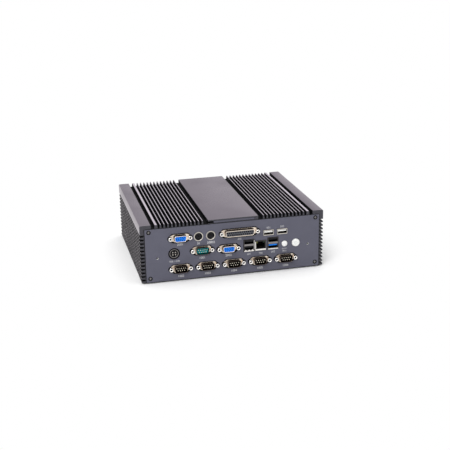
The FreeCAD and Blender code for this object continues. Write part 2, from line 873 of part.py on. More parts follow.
def make_network_port():
    """Folded shield with a window, a moulded insert with the jack's cavity and latch slot, and two lamps."""
    floor = f"{BASE} + main_board_top"
    mouth = f"{FACE} - lan_reach"
    window_floor = f"{floor} + lan_sill"
    window_left = "lan_x - lan_window_width / 2"
    window_top = f"{window_floor} + lan_window_height"
    outer = block(
        "lan_outer", "lan_x - lan_width / 2", mouth, floor, "lan_width", "lan_length", "lan_height"
    )
    inner_spot = ("lan_x - lan_width / 2 + lan_skin", f"{mouth} + lan_skin", floor)
    inner_size = ("lan_width - 2 * lan_skin", "lan_length - 2 * lan_skin", "lan_height - lan_skin")
    hollow = block("lan_hollow", *inner_spot, *inner_size)
    window = block(
        "lan_window", window_left, mouth, window_floor, "lan_window_width", "lan_skin", "lan_window_height"
    )
    node(cut("lan_shield_cut", outer, [hollow, window]), "lan_port_shield")

    face = f"({mouth} + lan_skin)"
    solid = block("lan_insert_solid", *inner_spot, *inner_size)
    cavity_size = ("lan_window_width", "lan_cavity_depth", "lan_cavity_height")
    cavity = block("lan_cavity", window_left, face, window_floor, *cavity_size)
    latch_floor = f"{window_floor} + lan_cavity_height"
    latch_height = f"({window_top} - ({latch_floor}))"
    latch = block(
        "lan_latch_slot",
        "lan_x - lan_latch_width / 2",
        face,
        latch_floor,
        "lan_latch_width",
        "lan_cavity_depth",
        latch_height,
    )
    lamp_spots = (window_left, "lan_x + lan_window_width / 2 - lan_lamp_width")
    sockets = []
    lamps = []
    for i, x in enumerate(lamp_spots):
        sockets.append(block(
            f"lan_lamp_socket_{i}", x, face, latch_floor, "lan_lamp_width", "lan_lamp_depth", latch_height
        ))
        lamps.append(block(
            f"lan_lamp_{i}", x, face, latch_floor, "lan_lamp_width", "lan_lamp_depth", latch_height
        ))
    node(cut("lan_insert_cut", solid, [cavity, latch] + sockets), "lan_port_insert")
    node(group("lan_lamp_set", lamps), "lan_port_lamps")


# Push buttons

def make_button(name, x, radius, travel):
    """A turned cap with two ears behind the panel and a square stem that slides in its switch."""
    z = f"{BASE} + main_board_top + button_rise"
    ear_front = "(button_reach + plate_thickness + button_gap)"
    ear_back = f"({ear_front} + ear_thickness)"
    body = new_body(f"{name}_button_body", x, f"{FACE} - button_reach", z)
    outline = sketch_on(body, "XY_Plane", f"{name}_cap_outline")
    add_loop(outline, [
        ("0", "0"),
        (f"{radius} - button_round", "0"),
        (radius, "button_round"),
        (radius, ear_front),
        ("0", ear_front),
    ])
    turned = body.newObject("PartDesign::Revolution", f"{name}_cap_turned")
    turned.Profile = outline
    turned.ReferenceAxis = (origin_feature(body, "Y_Axis"), [""])
    ears = sketch_on(body, "XZ_Plane", f"{name}_ear_outline", f"-{ear_front}")
    ear_end = f"({radius} + ear_reach)"
    add_rectangle(ears, f"-{ear_end}", ear_end, "-ear_height / 2", "ear_height / 2")
    pad(body, ears, f"{name}_ears", "ear_thickness", reverse=True)
    stem = sketch_on(body, "XZ_Plane", f"{name}_stem_outline", f"-{ear_back}")
    add_rectangle(stem, *["-stem_width / 2", "stem_width / 2"] * 2)
    pad(body, stem, f"{name}_stem", "stem_length", reverse=True)
    node(body, f"{name}_button")

    switch_front = f"{FACE} - button_reach + {ear_back} + {travel} + button_gap"
    case = block(
        f"{name}_switch_case",
        f"{x} - switch_width / 2",
        switch_front,
        f"{BASE} + main_board_top",
        "switch_width",
        "switch_length",
        "button_rise + switch_width / 2",
    )
    guide = block(
        f"{name}_switch_guide",
        f"{x} - stem_width / 2 - stem_fit",
        switch_front,
        f"{z} - stem_width / 2 - stem_fit",
        "stem_width + 2 * stem_fit",
        "switch_length - switch_wall",
        "stem_width + 2 * stem_fit",
    )
    node(cut(f"{name}_switch_cut", case, [guide]), f"{name}_switch")


# Connector panel

def make_io_panel(ports):
    body = end_plate("io_panel", FACE, True)
    bores = sketch_on(body, "XZ_Plane", "io_panel_round_openings")
    for x in ("keyboard_x", "mouse_x"):
        add_circle(bores, x, "upper_board_top + round_port_rise", "ring_radius + round_port_gap")
    add_circle(bores, "inlet_x", "main_board_top + inlet_rise", "inlet_radius + round_port_gap")
    for x, radius in (("power_x", "power_radius"), ("reset_x", "reset_radius")):
        add_circle(bores, x, "main_board_top + button_rise", f"{radius} + button_gap")
    for sign in "+-":
        add_circle(bores, f"{sign}cable_cover_spacing / 2", "cable_cover_height", "cable_cover_bore")
    pocket(body, bores, "io_panel_round_cut")

    for port in ports:
        opening = sketch_on(body, "XZ_Plane", f"io_panel_{port.name}_opening")
        corners = cutout_corners(port.cutout, port.nut_span)
        add_loop(opening, [(f"{port.x} + {u}", f"{port.z} + {v}") for u, v in corners])
        pocket(body, opening, f"io_panel_{port.name}_cut")

    windows = sketch_on(body, "XZ_Plane", "io_panel_usb_openings")
    for x in ("usb_1_x", "usb_2_x"):
        half = "(usb_width / 2 + port_gap)"
        top = "upper_board_top + usb_height + port_gap"
        add_rectangle(windows, f"{x} - {half}", f"{x} + {half}", "upper_board_top - port_gap", top)
    for x in ("stack_left_x", "stack_right_x"):
        half = "(stack_width / 2 + port_gap)"
        top = "main_board_top + stack_height + port_gap"
        add_rectangle(windows, f"{x} - {half}", f"{x} + {half}", "main_board_top - port_gap", top)
    pocket(body, windows, "io_panel_usb_cut")

    network = sketch_on(body, "XZ_Plane", "io_panel_network_opening")
    half = "(lan_width / 2 + port_gap)"
    top = "main_board_top + lan_height + port_gap"
    add_rectangle(network, f"lan_x - {half}", f"lan_x + {half}", "main_board_top - port_gap", top)
    pocket(body, network, "io_panel_network_cut")
    return node(body, "io_panel")


# Circuit boards and what stands on them

class Board:
    """One circuit board, its edges and the spots of its pillars, as expressions."""

    def __init__(self, name, top, left, right, depth, rests_on, pillar_rows):
        self.name = name
        self.top = top
        self.left = f"({left} - board_margin)"
        self.right = f"({right} + board_margin)"
        self.depth = depth
        self.rests_on = rests_on
        self.spots = [
            (x, f"{BOARD_FRONT} + {row}")
            for x in (f"{self.left} + pillar_inset", f"{self.right} - pillar_inset")
            for row in pillar_rows
        ]


def make_board(board, pillars, screws):
    """A flat board on its pillars, with a screw head over each. Both are added to the shared sets."""
    top = f"({BASE} + {board.top})"
    under = f"({top} - board_thickness)"
    plate = block(
        f"{board.name}_plate",
        board.left,
        BOARD_FRONT,
        under,
        f"{board.right} - {board.left}",
        board.depth,
        "board_thickness",
    )
    foot = f"({BASE} + {board.rests_on})"
    for i, (x, y) in enumerate(board.spots):
        pillar_size = ("pillar_radius", f"{under} - {foot}")
        pillars.append(prism(f"{board.name}_pillar_{i}", x, y, foot, *pillar_size, UPWARD))
        head_size = ("board_screw_head", "board_screw_height")
        screws.append(prism(f"{board.name}_screw_{i}", x, y, top, *head_size, UPWARD))
    return node(plate, board.name)


def make_boards():
    last_port_end = f"serial_first_x + {LOWER_PORT_COUNT - 1} * serial_pitch + flange_small / 2"
    boards = [
        Board("main_board", "main_board_top", "inlet_x - inlet_radius", "power_x + switch_width / 2",
              "main_board_depth", COVER_TOP, ("main_pillar_setback", "main_board_depth - pillar_inset")),
        Board("upper_io_board", "upper_board_top", "vga_1_x - flange_small / 2", "usb_2_x + usb_width / 2",
              "upper_board_depth", "main_board_top", ("upper_board_depth - pillar_inset",)),
        Board("serial_board", "serial_board_top", "serial_first_x - flange_small / 2", last_port_end,
              "serial_board_depth", COVER_TOP, ("serial_board_depth - pillar_inset",)),
    ]
    pillars = []
    screws = []
    for board in boards:
        make_board(board, pillars, screws)
    node(group("standoff_set", pillars), "board_standoffs")
    node(group("board_screw_set", screws), "board_screws")


def make_chips():
    """Processor under the raised land, the block that carries its heat up to it, and memory beside it."""
    middle = f"({BACK} + processor_setback)"
    chip_floor = f"{BASE} + main_board_top"
    processor = block(
        "processor_block",
        "-processor_size / 2",
        f"{middle} - processor_size / 2",
        chip_floor,
        "processor_size",
        "processor_size",
        "processor_thickness",
    )
    node(processor, "processor")
    heat_block = block(
        "heat_block_solid",
        "-heat_block_size / 2",
        f"{middle} - heat_block_size / 2",
        f"{chip_floor} + processor_thickness",
        "heat_block_size",
        "heat_block_size",
        f"{CEILING} - main_board_top - processor_thickness",
    )
    node(heat_block, "heat_block")
    chips = []
    for i in range(MEMORY_CHIP_COUNT):
        y = f"{middle} + {i - (MEMORY_CHIP_COUNT - 1) / 2} * memory_pitch - memory_length / 2"
        size = ("memory_width", "memory_length", "memory_thickness")
        chips.append(block(f"memory_{i}", "memory_offset - memory_width / 2", y, chip_floor, *size))
    node(group("memory_set", chips), "memory_chips")


def make_drive():
    drive = block(
        "drive_block",
        "-drive_width / 2",
        f"{BACK} + drive_setback",
        f"{BASE} + {COVER_TOP}",
        "drive_width",
        "drive_length",
        "drive_thickness",
    )
    return node(drive, "solid_state_drive")


# The whole computer

d_ports = all_d_ports()
make_housing()
make_slot_strip()
make_io_panel(d_ports)
node(end_plate("rear_panel", REAR, False), "rear_panel")
make_bottom_cover()
make_screws()
make_feet()
pin_set = []
nut_set = []
for d_port in d_ports:
    make_d_shell(d_port)
    make_d_insert(d_port)
    nut_set += make_nuts(d_port)
    if d_port.plug:
        pin_set += make_pins(d_port)
node(group("pin_group", pin_set), "serial_pins")
node(group("nut_group", nut_set), "jack_nuts")
make_round_port("keyboard_port", "keyboard_x")
make_round_port("mouse_port", "mouse_x")
make_power_inlet()
make_single_usb("usb_port_1", "usb_1_x")
make_single_usb("usb_port_2", "usb_2_x")
node(group("left_tongue_set", make_usb_stack("usb_stack_left", "stack_left_x")), "usb_stack_left_tongues")
right_lower, right_upper = make_usb_stack("usb_stack_right", "stack_right_x")
node(right_lower, "usb_stack_right_lower_tongue")
node(right_upper, "usb_stack_right_upper_tongue")
make_network_port()
make_button("power", "power_x", "power_radius", "power_travel")
make_button("reset", "reset_x", "reset_radius", "reset_travel")
make_boards()
make_chips()
make_drive()
doc.recompute()

# Every object has to be sound before anything is written

for item in doc.Objects:
    if "Invalid" in item.State or "Error" in item.State:
        raise RuntimeError(f"{item.Label} failed to rebuild: {item.State}")
for item in nodes:
    if item.Shape.isNull() or not item.Shape.isValid():
        raise RuntimeError(f"{item.Label} has no sound shape")

os.makedirs("parts", exist_ok=True)
for item in nodes:
    item.Shape.exportStep(os.path.join("parts", f"{item.Label}.step"))
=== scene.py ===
"""Looks of a fanless box computer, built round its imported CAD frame."""
import math

import bmesh
import bpy
from mathutils import Matrix, Vector


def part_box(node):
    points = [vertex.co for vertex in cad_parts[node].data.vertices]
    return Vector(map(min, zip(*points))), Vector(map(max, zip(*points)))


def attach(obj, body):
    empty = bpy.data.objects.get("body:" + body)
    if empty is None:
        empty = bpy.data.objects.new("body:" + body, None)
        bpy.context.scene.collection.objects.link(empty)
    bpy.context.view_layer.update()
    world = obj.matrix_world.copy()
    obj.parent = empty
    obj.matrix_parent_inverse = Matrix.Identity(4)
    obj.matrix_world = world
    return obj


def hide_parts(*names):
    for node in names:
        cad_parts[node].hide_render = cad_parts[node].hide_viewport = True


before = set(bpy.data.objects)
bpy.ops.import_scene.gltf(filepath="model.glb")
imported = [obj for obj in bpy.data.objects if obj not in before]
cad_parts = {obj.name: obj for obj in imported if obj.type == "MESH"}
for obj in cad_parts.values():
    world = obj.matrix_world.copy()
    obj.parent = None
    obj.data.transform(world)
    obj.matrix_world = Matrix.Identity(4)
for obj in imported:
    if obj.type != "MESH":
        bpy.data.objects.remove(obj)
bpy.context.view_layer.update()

MM = 0.001

# Sizes of the extrusion, in millimetres
HOUSING_HALF = 119.5
HOUSING_HEIGHT = 75.4
TOP_FIN_HEIGHT = 5.4
TOP_FIN_THICKNESS = 2.0
SIDE_FIN_DEPTH = 5.0
SIDE_FIN_THICKNESS = 2.4
FIN_DRAFT = 0.35
TIP_ROUND = 0.4
ROOT_ROUND = 0.5
PLATEAU_HALF = 32.7
CORNER_BAND = 14.4
INNER_CHANNEL = 6.1
OUTER_CHANNEL = 4.5
EDGE_FIN = 3.8
CORNER_HEIGHT = 12.4
SOLE_HEIGHT = 2.3
TOP_GROOVES = 12
SIDE_GROOVES = 13
INNER_HALF = 111.7
CEILING = 67.0
RAIL_WIDTH = 6.4
RAIL_FLOOR = 2.7
RAIL_TOP = 8.1
UPPER_RAIL = 63.2
RAIL_ROUND = 0.2
LIP_WIDTH = 3.0
LIP_THICKNESS = 1.0
EDGE_ROUND = 1.5
SLOT_FLOOR = 71.3
SLOT_TOP = 73.7
SLOT_DEPTH = 12.0
SLOT_RIGHT = 28.1
HOUSING_SHARP = 40

# Panels, screws and feet
PANEL_ROUND = 0.6
PANEL_EASE = 0.15
# Black rings round both panels that paint the shadow of the panel's edge: their depth, and their reach at the
# sides and at top and bottom
PANEL_SHADOW_DEPTH = 0.5
PANEL_SHADOW_SIDE = 0.9
PANEL_SHADOW_EDGE = 0.4
SCREW_X = 108.5
SCREW_LOW = 5.4
SCREW_HIGH = 66.4
HEAD_RADIUS = 2.8
HEAD_HEIGHT = 0.9
SCREW_LENGTH = 10.0
RECESS_REACH = 1.7
RECESS_HALF = 0.42
COVER_HOLE_X = 98.5
COVER_HOLE_Z = 31.7
COVER_HOLE_RADIUS = 1.4
LINER_DEPTH = 1.2
FOOT_SIDE = 14.0
FOOT_ROUND = 2.0

# D-shaped ports: width and height of the shell, distance of the nuts, and width of the panel's opening
D_SIZE = {"video": (16.3, 7.9), "parallel": (38.4, 7.9), "serial": (17.9, 9.4)}
NUT_SPAN = {"video": 24.99, "parallel": 47.04, "serial": 24.99}
OPENING_WIDTH = {"video": 16.3, "parallel": 38.4, "serial": 16.3}
# Width of the black ring inside each opening that paints its shadow
SHADOW_RING_WIDTH = {"video": 0.95, "parallel": 0.95, "serial": 0.65}
RIM_WIDTH = {"video": 0.7, "parallel": 0.7, "serial": 0.5}
BEAD = {"video": 0.7, "parallel": 0.7, "serial": 0.2}
CONTACT_HOLE = {"video": 0.62, "parallel": 1.0}
PIN_ROWS = {"parallel": (13, 12), "serial": (5, 4)}
D_TAPER = 0.176
D_ROUND = 2.5
D_WALL = 0.5
D_FIT = 0.1
FLANGE_THICKNESS = 0.8
OPENING_HEIGHT = 11.8
OPENING_MARGIN = 4.1
OPENING_ROUND = 1.2
# How far the painted shadow ring reaches past the opening onto the panel
SHADOW_RING_BRIM = 0.35
BRIM_RISE = 0.12
BOSS_STEP = 0.25
RIM_DEPTH = 0.38
INSERT_FACE = 2.4
NUT_RADIUS = 2.85
NUT_BORE = 1.2
LOBE_RADIUS = 3.3
PIN_PITCH = 2.77
PIN_ROW = 1.42
PIN_RADIUS = 0.5
PIN_REACH = 4.8
VIDEO_PITCH = 2.29
VIDEO_ROW = 1.98
VIDEO_SHIFT = -0.575

# Round ports, flat ports and buttons
ROUND_GAP = 0.3
RING_WALL = 1.0
CORE_RADIUS = 3.9
CORE_FACE = 3.0
SIX_CONTACTS = [(2.4, 1.6), (-2.4, 1.6), (2.9, -0.7), (-2.9, -0.7), (1.2, -2.5), (-1.2, -2.5)]
FOUR_CONTACTS = [(1.7, 1.5), (-1.7, 1.5), (1.7, -1.5), (-1.7, -1.5)]
INLET_CORE = 4.1
INLET_WALL = 0.9
INLET_HOLE = 0.8
PORT_GAP = 0.4
LIP_STEP = 0.25
BACK_WALL = 1.0
TONGUE_THICKNESS = 1.9
SHIELD_SKIN = 0.4
LENS_WIDTH = 2.4
BUTTON_RADIUS = {"power_button": 5.15, "reset_button": 3.75}
STEM_HALF = 2.0
PRINT_DEPTH = 0.02

# Depth below the fin tips where the painted shade of the grooves is full, and the share of the side fins'
# tips that shows the metal, the rest being painted shade
GROOVE_SHADE = 0.12
SIDE_FIN_UNSHADED_SHARE = 0.75

# Tint of the anodised metal where it is seen at a low angle
EDGE_TINT = (1.0, 0.96, 1.0)

# Floor, in metres: how far from the housing its shadow fades out, and the floor's side
SHADOW_REACH = 0.07
FLOOR_SIDE = 40.0

# Marks in bare metal along Y: features per millimetre, detail and stretch
DIE_LINES = (1.0, 3.0, (2.5, 0.012, 2.5))
DRAWING_MARKS = (1.2, 5.0, (1, 0.25, 1))


def span(node):
    """Lowest and highest corner of a CAD node, in millimetres."""
    return tuple(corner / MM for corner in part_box(node))


def centre(node):
    """Middle of a CAD node in the panel's plane, as (x, z)."""
    low, high = span(node)
    middle = (low + high) / 2
    return middle.x, middle.z


def half_width(node):
    low, high = span(node)
    return (high.x - low.x) / 2


FACE = span("io_panel")[0].y
BACK = span("io_panel")[1].y
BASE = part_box("finned_housing")[0].z / MM
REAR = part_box("finned_housing")[1].y / MM
SCREW_SPOTS = [(x, BASE + z) for x in (SCREW_X, -SCREW_X) for z in (SCREW_LOW, SCREW_HIGH)]
COVER_HOLES = [(x, BASE + COVER_HOLE_Z) for x in (COVER_HOLE_X, -COVER_HOLE_X)]


# Outlines in the panel's plane, as lists of (x, z)

def circle(x, z, radius, count=48):
    turns = [2 * math.pi * i / count for i in range(count)]
    return [(x + radius * math.cos(turn), z + radius * math.sin(turn)) for turn in turns]


def shifted(outline, x, z):
    return [(u + x, v + z) for u, v in outline]


def mirrored(right):
    """A whole outline of (x, z, radius) from its right half."""
    return right + [(-x, z, radius) for x, z, radius in reversed(right)]


def rounded(corners, radius=None, steps=4):
    """Round the corners of a closed outline of (x, z), or of (x, z, radius)."""
    points = []
    for i, corner in enumerate(corners):
        here = Vector(corner[:2])
        before = Vector(corners[i - 1][:2]) - here
        after = Vector(corners[(i + 1) % len(corners)][:2]) - here
        reach = min(before.length, after.length) / 2
        before.normalize()
        after.normalize()
        half = before.angle(after) / 2
        bend = min(corner[2] if radius is None else radius, reach * math.tan(half))
        hub = here + (before + after).normalized() * bend / math.sin(half)
        first = here + before * bend / math.tan(half) - hub
        last = here + after * bend / math.tan(half) - hub
        sweep = first.angle_signed(last)
        for step in range(steps + 1):
            turn = Matrix.Rotation(-sweep * step / steps, 2)
            points.append(tuple(hub + turn @ first))
    return points


def rectangle(x_low, x_high, z_low, z_high, radius, steps=4):
    corners = [(x_low, z_low), (x_high, z_low), (x_high, z_high), (x_low, z_high)]
    return rounded(corners, radius, steps)


def around(low, high, margin, radius):
    """A rounded rectangle at a margin outside a node's box."""
    return rectangle(low.x - margin, high.x + margin, low.z - margin, high.z + margin, radius)


def d_outline(spot, size, inset=0.0, radius=D_ROUND):
    """A rounded D outline about a spot, wide side up."""
    top = size[0] / 2 - inset
    level = size[1] / 2 - inset
    bottom = top - 2 * level * D_TAPER
    corners = [(bottom, -level), (top, level), (-top, level), (-bottom, -level)]
    return shifted(rounded(corners, max(radius - inset, 0.3), 6), *spot)


def d_opening(spot, kind, inset=0.0, lobe_inset=0.0):
    """Panel opening of a D port: a D outline with a round lobe about each nut."""
    top = (OPENING_WIDTH[kind] + OPENING_MARGIN) / 2 - inset
    level = OPENING_HEIGHT / 2 - inset
    bottom = top - 2 * level * D_TAPER
    lobe = LOBE_RADIUS - lobe_inset
    right = [(bottom, -level, OPENING_ROUND)]
    for turn in range(-80, 81, 16):
        angle = math.radians(turn)
        right.append((NUT_SPAN[kind] / 2 + lobe * math.cos(angle), lobe * math.sin(angle), 0.2))
    right.append((top, level, OPENING_ROUND))
    return shifted(rounded(mirrored(right), steps=3), *spot)


def hexagon(x, z, radius, per_side=6):
    """A hexagon outline with extra points, to be lofted to a circle."""
    corners = [Vector(corner) for corner in circle(x, z, radius, 6)]
    points = []
    for i, corner in enumerate(corners):
        points += [corner.lerp(corners[(i + 1) % 6], k / per_side) for k in range(per_side)]
    return points


def cross(x, z):
    """A plus-shaped driver recess."""
    arm = [(RECESS_REACH, -RECESS_HALF), (RECESS_REACH, RECESS_HALF), (RECESS_HALF, RECESS_HALF)]
    corners = []
    for _ in range(4):
        corners += arm
        arm = [(-v, u) for u, v in arm]
    return shifted(corners, x, z)


# Mesh building: every form is a pair of vertices in millimetres and faces

def loft(rings, closed=False, caps=True):
    """Skin through rings of points. A closed loft joins its last ring to its first."""
    count = len(rings[0])
    vertices = [tuple(point) for ring in rings for point in ring]
    faces = []
    pairs = len(rings) if closed else len(rings) - 1
    for i in range(pairs):
        near = i * count
        far = (i + 1) % len(rings) * count
        for j in range(count):
            k = (j + 1) % count
            faces.append([near + j, near + k, far + k, far + j])
    if caps and not closed:
        faces.append(list(range(count))[::-1])
        faces.append(list(range((len(rings) - 1) * count, len(rings) * count)))
    return vertices, faces


def at_depth(outline, y):
    return [(x, y, z) for x, z in outline]


def prism(outline, y_low, y_high):
    return loft([at_depth(outline, y_low), at_depth(outline, y_high)])


def lathe(profile, x, z, count=48, closed=False, caps=True):
    """Turn a profile of (radius, y) about an axis along Y."""
    return loft([at_depth(circle(x, z, radius, count), y) for radius, y in profile], closed, caps)


def box(x_low, x_high, y_low, y_high, z_low, z_high, edge=0.0):
    """A block, with eased edges where an edge is given."""
    if not edge:
        return prism([(x_low, z_low), (x_high, z_low), (x_high, z_high), (x_low, z_high)], y_low, y_high)
    rings = []
    for inset, y in ((edge, y_low), (0, y_low + edge), (0, y_high - edge), (edge, y_high)):
        outline = rectangle(x_low + inset, x_high - inset, z_low + inset, z_high - inset, edge, 3)
        rings.append(at_depth(outline, y))
    return loft(rings)


def bushes(spots, outer, bore, front, back, count):
    """A short tube at each spot."""
    wall = [(outer, back), (outer, front), (bore, front), (bore, back)]
    return [lathe(wall, x, z, count, closed=True) for x, z in spots]


def linked(name, data):
    item = bpy.data.objects.new(name, data)
    bpy.context.scene.collection.objects.link(item)
    return item


def evaluated(item):
    """The mesh that an object's curve or modifiers make."""
    return bpy.data.meshes.new_from_object(item.evaluated_get(bpy.context.evaluated_depsgraph_get()))


def curve_mesh(curve):
    holder = linked("outline", curve)
    mesh = evaluated(holder)
    bpy.data.objects.remove(holder)
    bpy.data.curves.remove(curve)
    return mesh


def plate(loops, y_front, thickness, ease=0.0):
    """A flat plate with holes. The first loop is its outline, and the others are its holes."""
    curve = bpy.data.curves.new("plate", "CURVE")
    curve.dimensions = "2D"
    curve.fill_mode = "BOTH"
    curve.extrude = thickness / 2
    for loop in loops:
        spline = curve.splines.new("POLY")
        spline.points.add(len(loop) - 1)
        for point, (u, v) in zip(spline.points, loop):
            point.co = (u, v, 0, 1)
        spline.use_cyclic_u = True
    mesh = curve_mesh(curve)
    form = bmesh.new()
    form.from_mesh(mesh)
    bpy.data.meshes.remove(mesh)
    bmesh.ops.remove_doubles(form, verts=form.verts, dist=1e-4)
    bmesh.ops.recalc_face_normals(form, faces=form.faces)
    if ease:
        rims = [edge for edge in form.edges if len(edge.link_faces) == 2 and edge.calc_face_angle() > 1.2
                and abs(edge.verts[0].co.z - edge.verts[1].co.z) < 1e-4]
        bmesh.ops.bevel(form, geom=rims, offset=ease, segments=2, profile=0.5, affect="EDGES",
                        clamp_overlap=True)
    form.verts.index_update()
    depth = y_front + thickness / 2
    vertices = [(vert.co.x, depth - vert.co.z, vert.co.y) for vert in form.verts]
    faces = [[vert.index for vert in face.verts] for face in form.faces]
    form.free()
    return vertices, faces


def new_mesh(name, forms):
    """Join forms to one mesh in metres, with its faces turned outward."""
    vertices, faces = [], []
    for more_vertices, more_faces in forms:
        start = len(vertices)
        vertices += [Vector(vertex) * MM for vertex in more_vertices]
        faces += [[start + i for i in face] for face in more_faces]
    mesh = bpy.data.meshes.new(name)
    mesh.from_pydata(vertices, [], faces)
    form = bmesh.new()
    form.from_mesh(mesh)
    bmesh.ops.recalc_face_normals(form, faces=form.faces)
    form.to_mesh(mesh)
    form.free()
    return mesh


def smooth(mesh, sharp):
    """Smooth shading that breaks at edges sharper than an angle in degrees."""
    mesh.shade_smooth()
    mesh.set_sharp_from_angle(angle=math.radians(sharp))


def piece(name, forms, material, slot, *replaced, body="chassis", sharp=35):
    """Make a visible object of forms, and hang it on its CAD body in place of CAD nodes."""
    mesh = new_mesh(name, forms)
    smooth(mesh, sharp)
    mesh.materials.append(material)
    item = linked(name, mesh)
    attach(item, body)
    if replaced:
        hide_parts(*replaced)
    return item


# Materials

def fill(node, sockets):
    """Set sockets of a shader node, each to a constant or to the output that feeds it."""
    for socket, value in sockets.items():
        if isinstance(value, bpy.types.NodeSocket):
            node.id_data.links.new(value, node.inputs[socket])
        else:
            node.inputs[socket].default_value = value
    return node


def add(tree, kind, sockets=None, **settings):
    node = tree.nodes.new(f"ShaderNode{kind}")
    for setting, value in settings.items():
        setattr(node, setting, value)
    return fill(node, sockets or {})


def shader(name, colour, roughness, metallic=0.0, specular=0.5):
    material = bpy.data.materials.new(name)
    material.use_nodes = True
    tree = material.node_tree
    sockets = {"Base Color": (*colour, 1), "Roughness": roughness, "Metallic": metallic,
               "Specular IOR Level": specular}
    return material, tree, fill(tree.nodes["Principled BSDF"], sockets)


def mixed(share, first, second, output="Material Output"):
    """Show a shader, and a second one by its share."""
    tree = share.id_data
    mix = add(tree, "MixShader", {0: share, 1: first.outputs[0], 2: second.outputs[0]})
    fill(tree.nodes[output], {"Surface": mix.outputs[0]})


def noise(tree, scale, detail, stretch=(1, 1, 1)):
    """Noise in the object's own millimetres. scale is in features per millimetre."""
    place = add(tree, "TexCoord").outputs["Object"]
    mapping = add(tree, "Mapping", {"Vector": place, "Scale": [part / MM for part in stretch]})
    sockets = {"Vector": mapping.outputs["Vector"], "Scale": scale, "Detail": detail}
    return add(tree, "TexNoise", sockets).outputs["Fac"]


def ramp(source, stops):
    """Map a value through colour stops given as (place, colour)."""
    node = add(source.id_data, "ValToRGB", {"Fac": source})
    while len(node.color_ramp.elements) < len(stops):
        node.color_ramp.elements.new(0.5)
    for element, (place, colour) in zip(node.color_ramp.elements, stops):
        element.position = place
        element.color = (*colour, 1)
    return node.outputs["Color"]


def calculated(operation, *values):
    return add(values[0].id_data, "Math", dict(enumerate(values)), operation=operation).outputs["Value"]


def part_of(vector, axis):
    return add(vector.id_data, "SeparateXYZ", {0: vector}).outputs[axis]


def graded(value, start, end, least=0.0, most=1.0):
    """A value that goes smoothly from the least at start to the most at end."""
    sockets = {"Value": value, "From Min": start, "From Max": end, "To Min": least, "To Max": most}
    return add(value.id_data, "MapRange", sockets, interpolation_type="SMOOTHSTEP").outputs["Result"]


def shade(colour, factor):
    return tuple(min(part * factor, 1.0) for part in colour)


def relief(surface, height, strength, depth):
    bump = add(surface.id_data, "Bump", {"Strength": strength, "Distance": depth * MM, "Height": height})
    fill(surface, {"Normal": bump.outputs["Normal"]})


def textured(surface, roughness, wear, grain, bump):
    """Roughness that varies with wear, and a fine relief."""
    gloss = ramp(wear, [(0.3, (roughness * 0.85,) * 3), (0.7, (min(roughness * 1.15, 1),) * 3)])
    fill(surface, {"Roughness": gloss})
    relief(surface, grain, bump, 0.05)


def finished(name, colour, roughness, mottle, contrast, grain, bump, worn=True, **more):
    """Colour that drifts with a mottle, over a fine grain. The gloss of a worn surface follows its grain."""
    material, tree, surface = shader(name, colour, roughness, **more)
    drift = noise(tree, *mottle)
    fine = noise(tree, *grain)
    stops = [(0.3, shade(colour, 1 - contrast)), (0.7, shade(colour, 1 + contrast))]
    fill(surface, {"Base Color": ramp(drift, stops)})
    textured(surface, roughness, fine if worn else drift, fine, bump)
    return material


def coated_metal(name, colour, roughness):
    """Powder coat with a fine orange-peel relief."""
    return finished(name, colour, roughness, (0.05, 4.0), 0.05, (2.2, 3.0), 0.35, specular=0.2)


def plated_metal(name, colour, roughness, metallic=1.0):
    """Bright plate with faint drawing marks."""
    return finished(name, colour, roughness, (0.35, 4.0), 0.08, DRAWING_MARKS, 0.12, metallic=metallic)


def moulded_plastic(name, colour, roughness, bump=0.2, specular=0.15):
    """Moulded plastic with a spark-eroded texture."""
    grain = (3.5, 2.0)
    return finished(name, colour, roughness, (0.2, 3.0), 0.06, grain, bump, worn=False, specular=specular)


